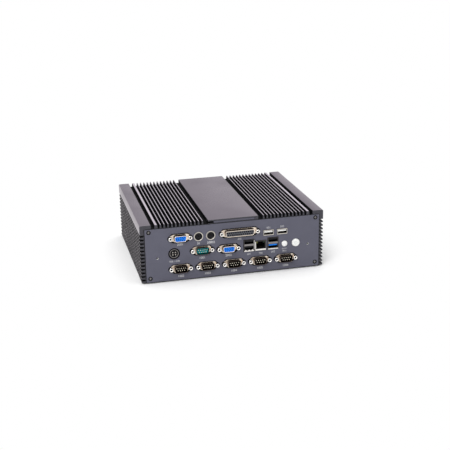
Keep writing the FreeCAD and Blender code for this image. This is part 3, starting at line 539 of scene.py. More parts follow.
def finned_metal(name, colour, tip_highlight_colour, side_light_colour, groove_shade_colour, end_colour, roughness):
    """Anodised fins: die lines along Y, a painted highlight on the fin tips, painted light on the faces that
    look sideways, cut ends in a dull tone, and painted shade that turns the grooves black from just below the
    fin tips.
    """
    material, tree, surface = shader(name, colour, roughness, 1.0)
    fill(surface, {"Specular Tint": (*EDGE_TINT, 1)})
    lines = noise(tree, 1.0, 1.0, (1.6, 0.012, 1.6))
    textured(surface, roughness, noise(tree, 0.02, 1.0), lines, 0.05)
    place = add(tree, "TexCoord").outputs
    facing = calculated("ABSOLUTE", part_of(place["Normal"], "X"))
    ends = calculated("ABSOLUTE", part_of(place["Normal"], "Y"))
    across = calculated("ABSOLUTE", part_of(place["Object"], "X"))
    height = part_of(place["Object"], "Z")

    def rise(value, start, end, *levels):
        return graded(value, start * MM, end * MM, *levels)

    inner_edge = PLATEAU_HALF + INNER_CHANNEL / 2
    band_edge = HOUSING_HALF - CORNER_BAND
    outer_edge = band_edge - OUTER_CHANNEL / 2
    from_inner = rise(across, inner_edge - 1, inner_edge + 1, 0.0, 0.5)
    fins = calculated("MULTIPLY", from_inner, rise(across, outer_edge + 1, outer_edge - 1))
    tone = calculated("MAXIMUM", fins, graded(facing, 0.5, 0.9))
    # Painted light: the fins get a much lighter colour than the land and corner bands as a painted highlight,
    # and the faces that look sideways get a lighter one too
    tones = ramp(tone, [(0.0, colour), (0.5, tip_highlight_colour), (1.0, side_light_colour)])
    fill(surface, {"Base Color": tones})

    top = BASE + HOUSING_HEIGHT
    band = top - CORNER_HEIGHT
    # Where the metal shows: fin tips, faces that look sideways and the corner bands. Elsewhere the groove
    # shader paints shade, and on the side fins a share of it too
    flank = rise(across, HOUSING_HALF - GROOVE_SHADE, HOUSING_HALF)
    sides = calculated("MULTIPLY", flank, rise(height, band - 1, band, SIDE_FIN_UNSHADED_SHARE))
    tips = calculated("MAXIMUM", sides, rise(height, top - GROOVE_SHADE, top))
    outer = rise(across, band_edge + 0.3, band_edge + 0.5)
    corner = calculated("MULTIPLY", outer, rise(height, band + 0.3, band + 0.5))
    corner = calculated("MULTIPLY", corner, graded(ends, 0.9, 0.5))
    # Painted shade: a near-black shader for the grooves, with a dull colour kept for the end faces
    groove = add(tree, "BsdfPrincipled", {"Specular IOR Level": 0.04})
    textured(groove, 0.6, lines, lines, 0.25)
    fill(groove, {"Base Color": ramp(ends, [(0.5, groove_shade_colour), (0.9, end_colour)])})
    mixed(calculated("MAXIMUM", tips, corner), groove, surface)
    return material


def circuit_board(name, lacquer, copper):
    """Green lacquer with paler tracks under it."""
    material, tree, surface = shader(name, lacquer, 0.35)
    tracks = add(tree, "TexBrick", {
        "Vector": add(tree, "TexCoord").outputs["Object"], "Scale": 180, "Mortar Size": 0.03,
        "Color1": (*lacquer, 1), "Color2": (*shade(lacquer, 0.8), 1), "Mortar": (*copper, 1),
    })
    fill(surface, {"Base Color": tracks.outputs["Color"]})
    relief(surface, tracks.outputs["Fac"], 0.2, 0.03)
    return material


# The fin tips' colour is a painted highlight, the sideways colour is painted light, and the grooves' colour
# is painted shade
ANODISED = finned_metal(
    "anodised_extrusion", colour=(0.144, 0.127, 0.152), tip_highlight_colour=(0.540, 0.495, 0.550),
    side_light_colour=(0.26, 0.245, 0.255), groove_shade_colour=(0.004, 0.004, 0.005),
    end_colour=(0.066, 0.065, 0.075), roughness=0.30)
PAINT = coated_metal("panel_paint", (0.104, 0.104, 0.137), 0.5)
PRINT = moulded_plastic("label_print", (0.56, 0.56, 0.57), 0.6, 0.05)
BLACK_STEEL = plated_metal("black_screws", (0.022, 0.022, 0.024), 0.35)
# The shells' plate darkened as painted shade, and the same plate lightened on flanges, bosses and rims as a
# painted highlight
SHADED_SHELL_PLATE = plated_metal("shell_plate_painted_shade", (0.09, 0.064, 0.05), 0.22)
FLANGE = plated_metal("flange_plate_painted_highlight", (0.96, 0.83, 0.71), 0.4)
NUT_METAL = plated_metal("nut_plate", (0.93, 0.90, 0.87), 0.2)
# Lips lightened as a painted highlight, and shields darkened as painted shade, though both are the same plate
LIT_LIP_PLATE = plated_metal("lip_plate_painted_highlight", (0.86, 0.83, 0.80), 0.3)
SHIELD = plated_metal("port_shield", (0.075, 0.069, 0.066), 0.35)
RING = plated_metal("ring_plate", (0.62, 0.585, 0.535), 0.3)
PIN_PLATE = plated_metal("pin_plate", (0.90, 0.82, 0.68), 0.5, 0.2)
STACK = plated_metal("stack_shield", (0.26, 0.245, 0.24), 0.3)
GOLD = plated_metal("gold_contacts", (0.55, 0.48, 0.33), 0.4)
# Gold darkened as painted shade, for contacts deep in shells and cavities
SHADED_GOLD = plated_metal("gold_contacts_painted_shade", (0.10, 0.075, 0.04), 0.4)
BLACK = moulded_plastic("black_plastic", (0.010, 0.010, 0.012), 0.45)
GREY = moulded_plastic("grey_plastic", (0.078, 0.082, 0.096), 0.5, 0.2, 0.2)
DEEP_BLACK = moulded_plastic("deep_black_plastic", (0.006, 0.006, 0.007), 0.6, 0.2, 0.08)
BLUE = moulded_plastic("video_blue", (0.010, 0.190, 0.80), 0.4)
TEAL = moulded_plastic("serial_teal", (0.012, 0.62, 0.68), 0.35)
TONGUE_BLUE = moulded_plastic("tongue_blue", (0.010, 0.200, 0.80), 0.4)
WHITE = moulded_plastic("white_plastic", (0.84, 0.84, 0.82), 0.35, 0.08)
ICON = moulded_plastic("icon_print", (0.52, 0.58, 0.56), 0.5, 0.05)
LAMP = moulded_plastic("lamp_lens", (0.12, 0.125, 0.03), 0.3, 0.05)
DARK_LAMP = moulded_plastic("dark_lamp_lens", (0.02, 0.035, 0.02), 0.3, 0.05)
RUBBER = moulded_plastic("rubber", (0.020, 0.020, 0.021), 0.8, 0.5)
BOARD = circuit_board("board_lacquer", (0.012, 0.085, 0.040), (0.05, 0.19, 0.08))
BRASS = plated_metal("brass_pillars", (0.75, 0.56, 0.24), 0.3)
ZINC = plated_metal("zinc_screws", (0.55, 0.55, 0.56), 0.35)
MILLED = finished("milled_block", (0.66, 0.66, 0.67), 0.3, (0.06, 3.0), 0.06, DIE_LINES, 0.25, metallic=1.0)
DRIVE_PAINT = coated_metal("drive_case", (0.16, 0.16, 0.17), 0.45)

# Kind of each D port, with the plastic of its insert and that plastic's slot
D_PORTS = {
    "vga_port_1": ("video", BLUE, "video_blue"),
    "vga_port_2": ("video", BLUE, "video_blue"),
    "parallel_port": ("parallel", GREY, "black_plastic"),
    "serial_port_1": ("serial", TEAL, "serial_teal"),
}
for number in range(2, 7):
    D_PORTS[f"serial_port_{number}"] = ("serial", DEEP_BLACK, "black_plastic")


# Housing

def grooves(spans, crest, floor):
    """Corners of a row of grooves, as (along, height, radius). The row's two outer walls have no draft."""
    corners = []
    for i, (start, end) in enumerate(spans):
        draft = math.copysign(FIN_DRAFT, end - start)
        first = draft if i else 0
        last = draft if i < len(spans) - 1 else 0
        corners += [(start - first, crest, TIP_ROUND), (start + first, floor, ROOT_ROUND),
                    (end - last, floor, ROOT_ROUND), (end + last, crest, TIP_ROUND)]
    return corners


def housing_profile():
    """The extrusion's right half from the raised land over the fins and along the inside, then its mirror."""
    fin_start = PLATEAU_HALF + INNER_CHANNEL
    fin_end = HOUSING_HALF - CORNER_BAND - OUTER_CHANNEL - EDGE_FIN
    pitch = (fin_end - fin_start) / TOP_GROOVES
    spans = [(PLATEAU_HALF, fin_start)]
    for i in range(TOP_GROOVES):
        spans.append((fin_start + i * pitch + TOP_FIN_THICKNESS, fin_start + (i + 1) * pitch))
    spans.append((fin_end + EDGE_FIN, fin_end + EDGE_FIN + OUTER_CHANNEL))
    right = grooves(spans, HOUSING_HEIGHT, HOUSING_HEIGHT - TOP_FIN_HEIGHT)
    right.append((HOUSING_HALF, HOUSING_HEIGHT, EDGE_ROUND))
    pitch = (HOUSING_HEIGHT - CORNER_HEIGHT - SOLE_HEIGHT + SIDE_FIN_THICKNESS) / SIDE_GROOVES
    bottoms = [SOLE_HEIGHT + i * pitch for i in reversed(range(SIDE_GROOVES))]
    spans = [(bottom + pitch - SIDE_FIN_THICKNESS, bottom) for bottom in bottoms]
    right += [(x, z, radius) for z, x, radius in grooves(spans, HOUSING_HALF, HOUSING_HALF - SIDE_FIN_DEPTH)]
    right.append((HOUSING_HALF, 0, ROOT_ROUND))
    rail = INNER_HALF - RAIL_WIDTH
    lip = INNER_HALF - LIP_WIDTH
    inside = [(lip, 0), (lip, LIP_THICKNESS), (INNER_HALF, LIP_THICKNESS), (INNER_HALF, RAIL_FLOOR),
              (rail, RAIL_FLOOR), (rail, RAIL_TOP), (INNER_HALF, RAIL_TOP), (INNER_HALF, UPPER_RAIL),
              (rail, UPPER_RAIL), (rail, CEILING)]
    right += [(x, z, RAIL_ROUND) for x, z in inside]
    return rounded([(x, z + BASE, radius) for x, z, radius in mirrored(right)], steps=2)


def make_housing():
    """The extrusion, with the slot cut into the front end of its raised land."""
    body = plate([housing_profile()], BACK, REAR - BACK)
    item = piece("housing_extrusion", [body], ANODISED, "housing", "finned_housing", sharp=HOUSING_SHARP)
    slot = box(-PLATEAU_HALF - INNER_CHANNEL / 2, SLOT_RIGHT, BACK - 1, BACK + SLOT_DEPTH,
               BASE + SLOT_FLOOR, BASE + SLOT_TOP)
    cutter = linked("slot_cutter", new_mesh("slot_cutter", [slot]))
    cutting = item.modifiers.new("slot", "BOOLEAN")
    cutting.operation = "DIFFERENCE"
    cutting.solver = "EXACT"
    cutting.object = cutter
    bpy.context.view_layer.update()
    result = evaluated(item)
    item.modifiers.clear()
    item.data = result
    smooth(result, HOUSING_SHARP)
    bpy.data.objects.remove(cutter)


# Panels, screws and feet

def panel_openings():
    """Openings of the connector panel for its ports and buttons."""
    openings = [d_opening(centre(f"{name}_shell"), kind) for name, (kind, _, _) in D_PORTS.items()]
    radii = {name: half_width(name) for name in ("keyboard_port_ring", "mouse_port_ring")}
    radii["power_inlet_ring"] = half_width("power_inlet_body")
    radii.update(BUTTON_RADIUS)
    openings += [circle(*centre(name), radius + ROUND_GAP) for name, radius in radii.items()]
    openings += [around(*span(f"usb_port_{number}_shell"), PORT_GAP, 0.5) for number in (1, 2)]
    stack_low, stack_high = span("usb_stack_left_shell")
    lan_low, lan_high = span("lan_port_shield")
    left = stack_low.x - PORT_GAP
    step = stack_high.x + PORT_GAP
    right = lan_high.x + PORT_GAP
    stack_top = stack_high.z + PORT_GAP
    lan_top = lan_high.z + PORT_GAP
    openings.append(rounded([
        (left, stack_low.z - PORT_GAP), (right, lan_low.z - PORT_GAP), (right, lan_top),
        (step, lan_top), (step, stack_top), (left, stack_top),
    ], 0.4))
    openings.append(around(*span("usb_stack_right_shell"), PORT_GAP, 0.5))
    return openings


def screw(x, z, y_face, inward):
    """Blackened head of a flush screw, and its shank, which shows through the cross recess in a lighter metal
    as a painted highlight. inward is 1 or -1.
    """
    front = min(y_face, y_face + inward * HEAD_HEIGHT)
    head = plate([circle(x, z, HEAD_RADIUS, 40), cross(x, z)], front, HEAD_HEIGHT, 0.12)
    steps = [(2.0, 0.3), (2.0, HEAD_HEIGHT), (1.25, HEAD_HEIGHT + 0.1), (1.25, SCREW_LENGTH)]
    shank = lathe([(radius, y_face + inward * depth) for radius, depth in steps], x, z, 24)
    return head, shank


def make_panels():
    screw_holes = [circle(x, z, HEAD_RADIUS + 0.1, 40) for x, z in SCREW_SPOTS]
    low, high = span("rear_panel")
    rear_face = high.y
    rear = plate([around(low, high, 0, PANEL_ROUND)] + screw_holes, low.y, high.y - low.y, PANEL_EASE)
    piece("rear_plate", [rear], PAINT, "panel", "rear_panel")

    low, high = span("io_panel")
    holes = screw_holes + [circle(x, z, COVER_HOLE_RADIUS, 32) for x, z in COVER_HOLES] + panel_openings()
    front = plate([around(low, high, 0, PANEL_ROUND)] + holes, FACE, BACK - FACE, PANEL_EASE)
    piece("connector_panel", [front], PAINT, "panel", "io_panel")

    # Painted shadow: a black ring round each panel, for the dark line where the panel's edge shades the
    # extrusion's end
    shadow_outline = rectangle(low.x - PANEL_SHADOW_SIDE, high.x + PANEL_SHADOW_SIDE, low.z - PANEL_SHADOW_EDGE, high.z + PANEL_SHADOW_EDGE,
                     PANEL_ROUND)
    inside = around(low, high, 0.02, PANEL_ROUND)
    rings = [plate([shadow_outline, inside], y, PANEL_SHADOW_DEPTH) for y in (BACK - PANEL_SHADOW_DEPTH, REAR)]
    piece("panel_shadow_rings", rings, RUBBER, "black_plastic")

    outer = COVER_HOLE_RADIUS - 0.02
    bore = outer - 0.1
    end = BACK + LINER_DEPTH
    wall = [(outer, end), (outer, FACE + 0.1), (outer - 0.05, FACE + 0.05), (bore, FACE + 0.1), (bore, end)]
    liners = [lathe(wall, x, z, 32, closed=True) for x, z in COVER_HOLES]
    piece("cover_hole_liners", liners, WHITE, "white_plastic")

    screws = [screw(x, z, FACE, 1) for x, z in SCREW_SPOTS]
    screws += [screw(x, z, rear_face, -1) for x, z in SCREW_SPOTS]
    piece("corner_screws", [head for head, _ in screws], BLACK_STEEL, "screws", "panel_screws")
    # Painted highlight: the shanks are lighter than the heads, and show in the recesses
    piece("screw_shanks", [shank for _, shank in screws], STACK, "screws")


def make_feet():
    """Square pads with rounded corners and an eased tread."""
    low, high = span("rubber_feet")
    pads = []
    for x in (low.x, high.x - FOOT_SIDE):
        for y in (low.y, high.y - FOOT_SIDE):
            rings = []
            for inset, z in ((0.6, low.z), (0.15, low.z + 0.2), (0, low.z + 0.6), (0, high.z)):
                far = FOOT_SIDE - inset
                outline = rectangle(x + inset, x + far, y + inset, y + far, FOOT_ROUND, 5)
                rings.append([(u, v, z) for u, v in outline])
            pads.append(loft(rings))
    piece("feet_pads", pads, RUBBER, "feet", "rubber_feet")


make_housing()
make_panels()
make_feet()


# D-shaped ports

def d_tube(spot, kind, profile):
    """A closed wall round a D port. profile gives its inset from the shell's outside and its depth."""
    return loft([at_depth(d_outline(spot, D_SIZE[kind], inset), y) for inset, y in profile], closed=True)


def make_shell(name, kind):
    """Drawn shell: a tube with a rolled rim, a flange with a raised boss, and a black ring round the boss
    that paints the shadow at the edge of the panel's opening. The tube is drawn in a darkened plate as
    painted shade, and the flange in a lightened one as a painted highlight.
    """
    low, high = span(f"{name}_shell")
    spot = centre(f"{name}_shell")
    tip = low.y
    back = tip + RIM_DEPTH
    wall = RIM_WIDTH[kind]
    roll = [(0, back), (0.06, tip + 0.09), (0.2, tip), (wall - 0.15, tip), (wall, tip + 0.12), (wall, back)]
    # Rims of serial ports in the darkened plate as painted shade, the others in the lightened flange plate as
    # a painted highlight
    piece(f"{name}_rim", [d_tube(spot, kind, roll)], SHADED_SHELL_PLATE if kind == "serial" else FLANGE, "shells")

    front = FACE + BOSS_STEP
    bead = BEAD[kind]
    tube = [(0, back), (D_WALL, back), (D_WALL, high.y), (0, high.y)]
    fillet = [(-bead, front + 0.1), (-bead, front), (-bead * 0.7, front - bead * 0.3),
              (-bead * 0.3, front - bead * 0.7), (-0.05, front - bead * 1.2), (0.1, front - bead * 1.2),
              (0.1, front + 0.1)]
    drawn = [d_tube(spot, kind, profile) for profile in (tube, fillet)]
    # The tube in the darkened plate, as painted shade
    piece(f"{name}_drawn_shell", drawn, SHADED_SHELL_PLATE, "shells", f"{name}_shell")

    flange = high.y - FLANGE_THICKNESS
    shadow_ring = SHADOW_RING_WIDTH[kind]
    boss_size = (OPENING_WIDTH[kind] + OPENING_MARGIN - 2 * shadow_ring, OPENING_HEIGHT - 2 * shadow_ring)
    boss_outline = d_outline(spot, boss_size, 0.03, OPENING_ROUND)
    boss = plate([boss_outline, d_outline(spot, D_SIZE[kind], 0.1 - bead)], front, flange - front, 0.2)
    base_outline = around(low, high, 0, OPENING_ROUND)
    base = plate([base_outline, d_outline(spot, D_SIZE[kind], 0.1)], flange, FLANGE_THICKNESS, 0.15)
    # Flange and boss in the lightened plate, as a painted highlight
    piece(f"{name}_flange", [base, boss], FLANGE, "shells")

    # Painted shadow: a black ring inside and just round the opening, for the shade of the panel's edge
    inner = d_opening(spot, kind, shadow_ring, LOBE_RADIUS - NUT_RADIUS)
    sleeve_front = front + 0.1
    sleeve = plate([d_opening(spot, kind, 0.02, 0.02), inner], sleeve_front, flange - sleeve_front, 0.05)
    brim = d_opening(spot, kind, -SHADOW_RING_BRIM, -SHADOW_RING_BRIM)
    collar = plate([brim, inner], FACE - BRIM_RISE, BRIM_RISE + sleeve_front - FACE, 0.05)
    piece(f"{name}_gasket", [sleeve, collar], DEEP_BLACK, "black_plastic")


def contact_spots(name, kind):
    """Places of a D port's contacts, as (x, z)."""
    if kind == "video":
        rows = [(VIDEO_ROW, 0.0), (0.0, VIDEO_SHIFT), (-VIDEO_ROW, 0.0)]
        spots = [(shift + (i - 2) * VIDEO_PITCH, z) for z, shift in rows for i in range(5)]
    else:
        rows = zip((PIN_ROW, -PIN_ROW), PIN_ROWS[kind])
        spots = [((i - (count - 1) / 2) * PIN_PITCH, z) for z, count in rows for i in range(count)]
    return shifted(spots, *centre(f"{name}_shell"))


def make_insert(name, kind, material, slot):
    """Plastic insert: a face with contact holes or pin collars, and a block behind the flange."""
    low, high = span(f"{name}_insert")
    outline = d_outline(centre(f"{name}_shell"), D_SIZE[kind], D_WALL + D_FIT)
    flange_back = span(f"{name}_shell")[1].y
    contacts = contact_spots(name, kind)
    if kind == "serial":
        face = plate([outline], low.y, INSERT_FACE, 0.2)
        collar = [(0.95, low.y - 0.25), (1.05, low.y - 0.1), (1.05, low.y + 0.3)]
        collars = [lathe(collar, x, z, 16) for x, z in contacts]
    else:
        radius = CONTACT_HOLE[kind]
        face = plate([outline] + [circle(x, z, radius, 16) for x, z in contacts], low.y, INSERT_FACE, 0.12)
        collars = []
        # Painted shade: black tubes inside the contact holes
        sockets = bushes(contacts, radius, radius * 0.6, low.y + 0.2, low.y + 2.2, 16)
        piece(f"{name}_sockets", sockets, DEEP_BLACK, "contacts")
    rear = prism(outline, low.y + INSERT_FACE, flange_back)
    block = box(low.x, high.x, flange_back, high.y, low.z, high.z, 0.4)
    piece(f"{name}_moulding", [face, rear, block] + collars, material, slot, f"{name}_insert")


def make_pins():
    """Round contact pins in all serial ports: shafts darkened as painted shade, with bright domed tips."""
    shafts, tips = [], []
    for name, (kind, _, _) in D_PORTS.items():
        if kind != "serial":
            continue
        root = span(f"{name}_insert")[0].y
        tip = root - PIN_REACH
        neck = tip + 0.9
        dome = [(PIN_RADIUS, neck), (PIN_RADIUS, tip + 0.45), (PIN_RADIUS * 0.85, tip + 0.18),
                (PIN_RADIUS * 0.45, tip)]
        for x, z in contact_spots(name, kind):
            shafts.append(lathe([(PIN_RADIUS, root), (PIN_RADIUS, neck)], x, z, 14))
            tips.append(lathe(dome, x, z, 14))
    # Pin shafts in the darkened gold, as painted shade
    piece("pin_shafts", shafts, SHADED_GOLD, "contacts", "serial_pins", sharp=60)
    piece("pin_tips", tips, PIN_PLATE, "contacts", sharp=60)


def make_nuts():
    """Hexagon jack nuts with chamfered corners and a countersunk bore, and a black thread inside as painted
    shade in the bore.
    """
    tip = span("jack_nuts")[0].y
    root = NUT_BORE - 0.02
    crest = NUT_BORE - 0.15
    thread = [(root, tip + 0.3), (root, tip + 0.35)]
    for i in range(6):
        thread += [(crest, tip + 0.5 + 0.3 * i), (root, tip + 0.65 + 0.3 * i)]
    thread.append((0.2, tip + 2.4))
    nuts, threads = [], []
    for name, (kind, _, _) in D_PORTS.items():
        middle, z = centre(f"{name}_shell")
        flange = span(f"{name}_shell")[1].y - FLANGE_THICKNESS
        turned = [(2.45, tip + 0.12), (2.3, tip), (1.5, tip), (NUT_BORE, tip + 0.3), (NUT_BORE, flange)]
        for x in (middle + NUT_SPAN[kind] / 2, middle - NUT_SPAN[kind] / 2):
            rings = [at_depth(hexagon(x, z, NUT_RADIUS), y) for y in (flange, tip + 0.75)]
            rings += [at_depth(circle(x, z, radius, 36), y) for radius, y in turned]
            nuts.append(loft(rings, closed=True))
            threads.append(lathe(thread[::-1], x, z, 20, caps=False))
    piece("hexagon_nuts", nuts, NUT_METAL, "nuts", "jack_nuts", sharp=25)
    # Painted shade: the threads are black
    piece("nut_thread_shade", threads, BLACK, "nuts")


for port, (port_kind, port_plastic, port_slot) in D_PORTS.items():
    make_shell(port, port_kind)
    make_insert(port, port_kind, port_plastic, port_slot)
make_pins()
make_nuts()


# Round ports

def make_round_port(name):
    """A plated collar with a rolled lip, a black lining, and a core with a key slot and contact holes."""
    low, high = span(f"{name}_ring")
    spot = centre(f"{name}_ring")
    outer = half_width(f"{name}_ring")
    inner = outer - RING_WALL
    lip = [(outer, high.y), (outer, low.y + 0.3), (outer - 0.1, low.y + 0.08), (outer - 0.3, low.y),
           (inner, low.y), (inner - 0.12, low.y + 0.1), (inner - 0.2, low.y + 0.5),
           (inner - 0.2, low.y + 1.2), (inner, low.y + 1.6), (inner, high.y)]
    piece(f"{name}_collar", [lathe(lip, *spot, 56, closed=True)], RING, "shells", f"{name}_ring")
    bore = inner - 0.22
    lining = bushes([spot], bore - 0.12, bore, high.y - 0.5, low.y + 0.35, 56)
    piece(f"{name}_lining", lining, DEEP_BLACK, "black_plastic")

    core_low, core_high = span(f"{name}_core")
    outline = circle(*spot, CORE_RADIUS, 40)
    key = shifted(rectangle(-1.1, 1.1, -0.2, 1.5, 0.2, 2), *spot)
    holes = [circle(x, z, 0.55, 14) for x, z in shifted(SIX_CONTACTS, *spot)]
    face = plate([outline, key] + holes, core_low.y, CORE_FACE, 0.15)
    rod = prism(outline, core_low.y + CORE_FACE, high.y)
    base = box(core_low.x, core_high.x, high.y, core_high.y, core_low.z, core_high.z, 0.3)
    piece(f"{name}_keyed_core", [face, rod, base], BLACK, "black_plastic", f"{name}_core")


def make_power_inlet():
    """A black round socket with a plated ring and four contacts in a keyed core."""
    low, high = span("power_inlet_body")
    ring_low, ring_high = span("power_inlet_ring")
    spot = centre("power_inlet_ring")
    outer = half_width("power_inlet_body")
    rim = half_width("power_inlet_ring")
    bore = rim + D_FIT
    root = BACK + 2.0
    sleeve = [(outer, root), (outer, low.y + 0.5), (outer - 0.15, low.y + 0.15), (outer - 0.5, low.y),
              (bore + 0.3, low.y), (bore, low.y + 0.3), (bore, ring_high.y), (INLET_CORE, ring_high.y),
              (INLET_CORE, root)]
    tube = lathe(sleeve, *spot, 56, closed=True)
    front = low.y + 0.8
    contacts = shifted(FOUR_CONTACTS, *spot)
    holes = [circle(x, z, INLET_HOLE, 16) for x, z in contacts]
    key = shifted(rectangle(-0.6, 0.6, 2.9, 3.7, 0.15, 2), *spot)
    face = plate([circle(*spot, INLET_CORE, 40), key] + holes, front, CORE_FACE, 0.15)
    rod = lathe([(INLET_CORE, front + CORE_FACE), (INLET_CORE, ring_high.y)], *spot, 40)
    base = box(low.x, high.x, root, high.y, low.z + 0.4, high.z, 0.3)
    piece("inlet_moulding", [tube, rod, base], DEEP_BLACK, "black_plastic", "power_inlet_body")
    piece("inlet_core", [face], DEEP_BLACK, "black_plastic")
    tubes = bushes(contacts, INLET_HOLE, 0.35, front + 0.1, front + 2.5, 20)
    piece("inlet_contacts", tubes, RING, "contacts")

    inner = rim - INLET_WALL
    lip = [(rim, ring_high.y), (rim, ring_low.y + 0.15), (rim - 0.15, ring_low.y),
           (inner + 0.15, ring_low.y), (inner, ring_low.y + 0.15), (inner, ring_high.y)]
    piece("inlet_collar", [lathe(lip, *spot, 56, closed=True)], STACK, "shells", "power_inlet_ring")


make_round_port("keyboard_port")
make_round_port("mouse_port")
make_power_inlet()


# Flat ports

def folded_tube(low, high, wall, heights):
    """A folded shell with eased edges round one or two openings, closed at the back."""
    holes = [rectangle(low.x + wall, high.x - wall, floor, ceiling, 0.35) for floor, ceiling in heights]
    tube = plate([around(low, high, 0, 0.6)] + holes, low.y, high.y - low.y - BACK_WALL, 0.18)
    return [tube, box(low.x, high.x, high.y - BACK_WALL, high.y, low.z, high.z, 0.3)]


def shade_liner(low, high, wall, floor, ceiling):
    """A thin black skin inside an opening, set back from its mouth, as painted shade inside the port."""
    rings = []
    front = low.y + 0.5
    back = high.y - 1.1
    for inset, y in ((0.02, front), (0.02, back), (0.08, back), (0.08, front)):
        reach = wall + inset
        outline = rectangle(low.x + reach, high.x - reach, floor + inset, ceiling - inset, 0.3)
        rings.append(at_depth(outline, y))
    return loft(rings, closed=True)


def spring_fingers(low, high, floor, ceiling):
    """Two bowed fingers on the floor and two on the ceiling of an opening."""
    fingers = []
    for share in (0.28, 0.72):
        x = low.x + (high.x - low.x) * share
        for z, sign in ((floor, 1), (ceiling, -1)):
            rings = []
            for depth, lift in ((1.6, 0.0), (2.6, 0.28), (3.4, 0.34), (4.4, 0.2), (6.5, 0.0)):
                top = z + sign * lift
                under = z - sign * 0.1
                outline = [(x - 0.9, under), (x + 0.9, under), (x + 0.8, top), (x - 0.8, top)]
                rings.append(at_depth(outline, low.y + depth))
            fingers.append(loft(rings))
    return fingers


def lip_plate(outline, low):
    """A lip that stands a step in front of a shell."""
    return plate([outline], low.y - LIP_STEP, LIP_STEP + 0.05, 0.06)


def lower_lip(low, high, rise, tabs=0):
    """A folded lip along the lower edge of a shell, with spring tabs that stand up from it. It is drawn in a
    lighter plate than its shell, as a painted highlight.
    """
    left = low.x + 0.4
    right = high.x - 0.4
    bottom = low.z + 0.3
    top = low.z + rise
    outline = [(left, bottom), (right, bottom), (right, top)]
    for i in reversed(range(tabs)):
        x = left + (right - left) * (i + 0.5) / tabs
        outline += [(x + 1.4, top), (x + 0.4, top + 1.4), (x - 0.4, top + 1.4), (x - 1.4, top)]
    return lip_plate(outline + [(left, top)], low)


def upright_lip(left, right, low, high):
    return lip_plate(rectangle(left, right, low.z + 2.4, high.z - 1.2, 0.1, 2), low)


def divider(low, high):
    return box(low.x + 0.9, high.x - 0.9, low.y - 0.15, low.y + 0.2, low.z + 7.6, low.z + 10.2, 0.12)


def make_usb(name, metal, wall, openings, tongues):
    """One or two ports in a shell with tongues, each with four contact strips under it."""
    low, high = span(f"{name}_shell")
    heights = [(low.z + floor, low.z + ceiling) for floor, ceiling in openings]
    shell = folded_tube(low, high, wall, heights)
    for floor, ceiling in heights:
        shell += spring_fingers(low, high, floor, ceiling)
    piece(f"{name}_folded_shell", shell, metal, "shells", f"{name}_shell")
    # Painted shade: a black skin inside each opening
    liners = [shade_liner(low, high, wall, floor, ceiling) for floor, ceiling in heights]
    piece(f"{name}_liner", liners, BLACK_STEEL, "shells")
    for node, count, material, slot in tongues:
        low, high = span(node)
        bars, strips = [], []
        for i in range(count):
            bottom = low.z + i * (high.z - low.z - TONGUE_THICKNESS)
            bars.append(box(low.x, high.x, low.y, high.y, bottom, bottom + TONGUE_THICKNESS, 0.2))
            for share in (0.125, 0.375, 0.625, 0.875):
                x = low.x + (high.x - low.x) * share
                strips.append(box(x - 0.55, x + 0.55, low.y + 0.6, high.y - 2.0,
                                  bottom - 0.12, bottom + 0.1, 0.05))
        piece(f"{node}_bar", bars, material, slot, node)
        piece(f"{node}_contacts", strips, GOLD, "contacts")


def make_stack_lips():
    """Folded edges on the shells of the double ports, lightened as a painted highlight, and bars between
    their openings, lighter than the shell, as painted light.
    """
    left = span("usb_stack_left_shell")
    right = span("usb_stack_right_shell")
    edge = left[1].x
    edges = [lower_lip(*left, 1.3, 3), upright_lip(edge - 0.75, edge - 0.1, *left)]
    # Lips lightened as a painted highlight on the darkened shields
    piece("usb_stack_left_lip", edges, LIT_LIP_PLATE, "shells")
    piece("usb_stack_right_lip", [lower_lip(*right, 1.6)], LIT_LIP_PLATE, "shells")
    # Bars between openings lighter than the shield, as painted light
    piece("usb_stack_dividers", [divider(*left), divider(*right)], STACK, "shells")


def make_network_port():
    """Shield with a window and a folded lip, sprung contacts in the cavity, and two lamp lenses."""
    low, high = span("lan_port_shield")
    skin = SHIELD_SKIN
    middle = (low.x + high.x) / 2
    outline = around(low, high, 0, 0.5)
    window = rectangle(middle - 6.0, middle + 6.0, low.z + 2.6, low.z + 12.4, 0.3)
    hollow = rectangle(low.x + skin, high.x - skin, low.z + 0.1, high.z - skin, 0.3)
    front = plate([outline, window], low.y, skin, 0.1)
    walls = plate([outline, hollow], low.y + skin, high.y - low.y - 2 * skin)
    back = plate([outline], high.y - skin, skin)
    # Shield darkened as painted shade
    piece("lan_folded_shield", [front, walls, back], SHIELD, "shells", "lan_port_shield")
    edges = [lower_lip(low, high, 2.3), upright_lip(low.x + 0.2, low.x + 1.2, low, high)]
    # Lip lightened as a painted highlight
    piece("lan_folded_lip", edges, LIT_LIP_PLATE, "shells")

    contacts = []
    for i in range(8):
        left = middle + (i - 3.5) * 1.02 - 0.2
        right = left + 0.4
        rings = []
        for depth, height in ((4.2, 3.3), (6.0, 3.6), (8.5, 5.0), (11.0, 7.0), (12.0, 7.6)):
            bottom = low.z + height - 0.2
            top = bottom + 0.4
            outline = [(left, bottom), (right, bottom), (right, top), (left, top)]
            rings.append(at_depth(outline, low.y + depth))
        contacts.append(loft(rings))
    # Contacts in the darkened gold, as painted shade
    piece("lan_contacts", contacts, SHADED_GOLD, "contacts")

    low, high = span("lan_port_lamps")
    left = box(low.x, low.x + LENS_WIDTH, low.y, high.y, low.z, high.z, 0.25)
    right = box(high.x - LENS_WIDTH, high.x, low.y, high.y, low.z, high.z, 0.25)
    piece("lan_lamp_left", [left], LAMP, "lamps", "lan_port_lamps")
    piece("lan_lamp_right", [right], DARK_LAMP, "lamps")


for number in (1, 2):
    port = f"usb_port_{number}"
    make_usb(port, RING, 0.6, [(1.0, 6.2)], [(f"{port}_tongue", 1, WHITE, "white_plastic")])
STACK_OPENINGS = [(2.3, 7.5), (10.3, 15.5)]
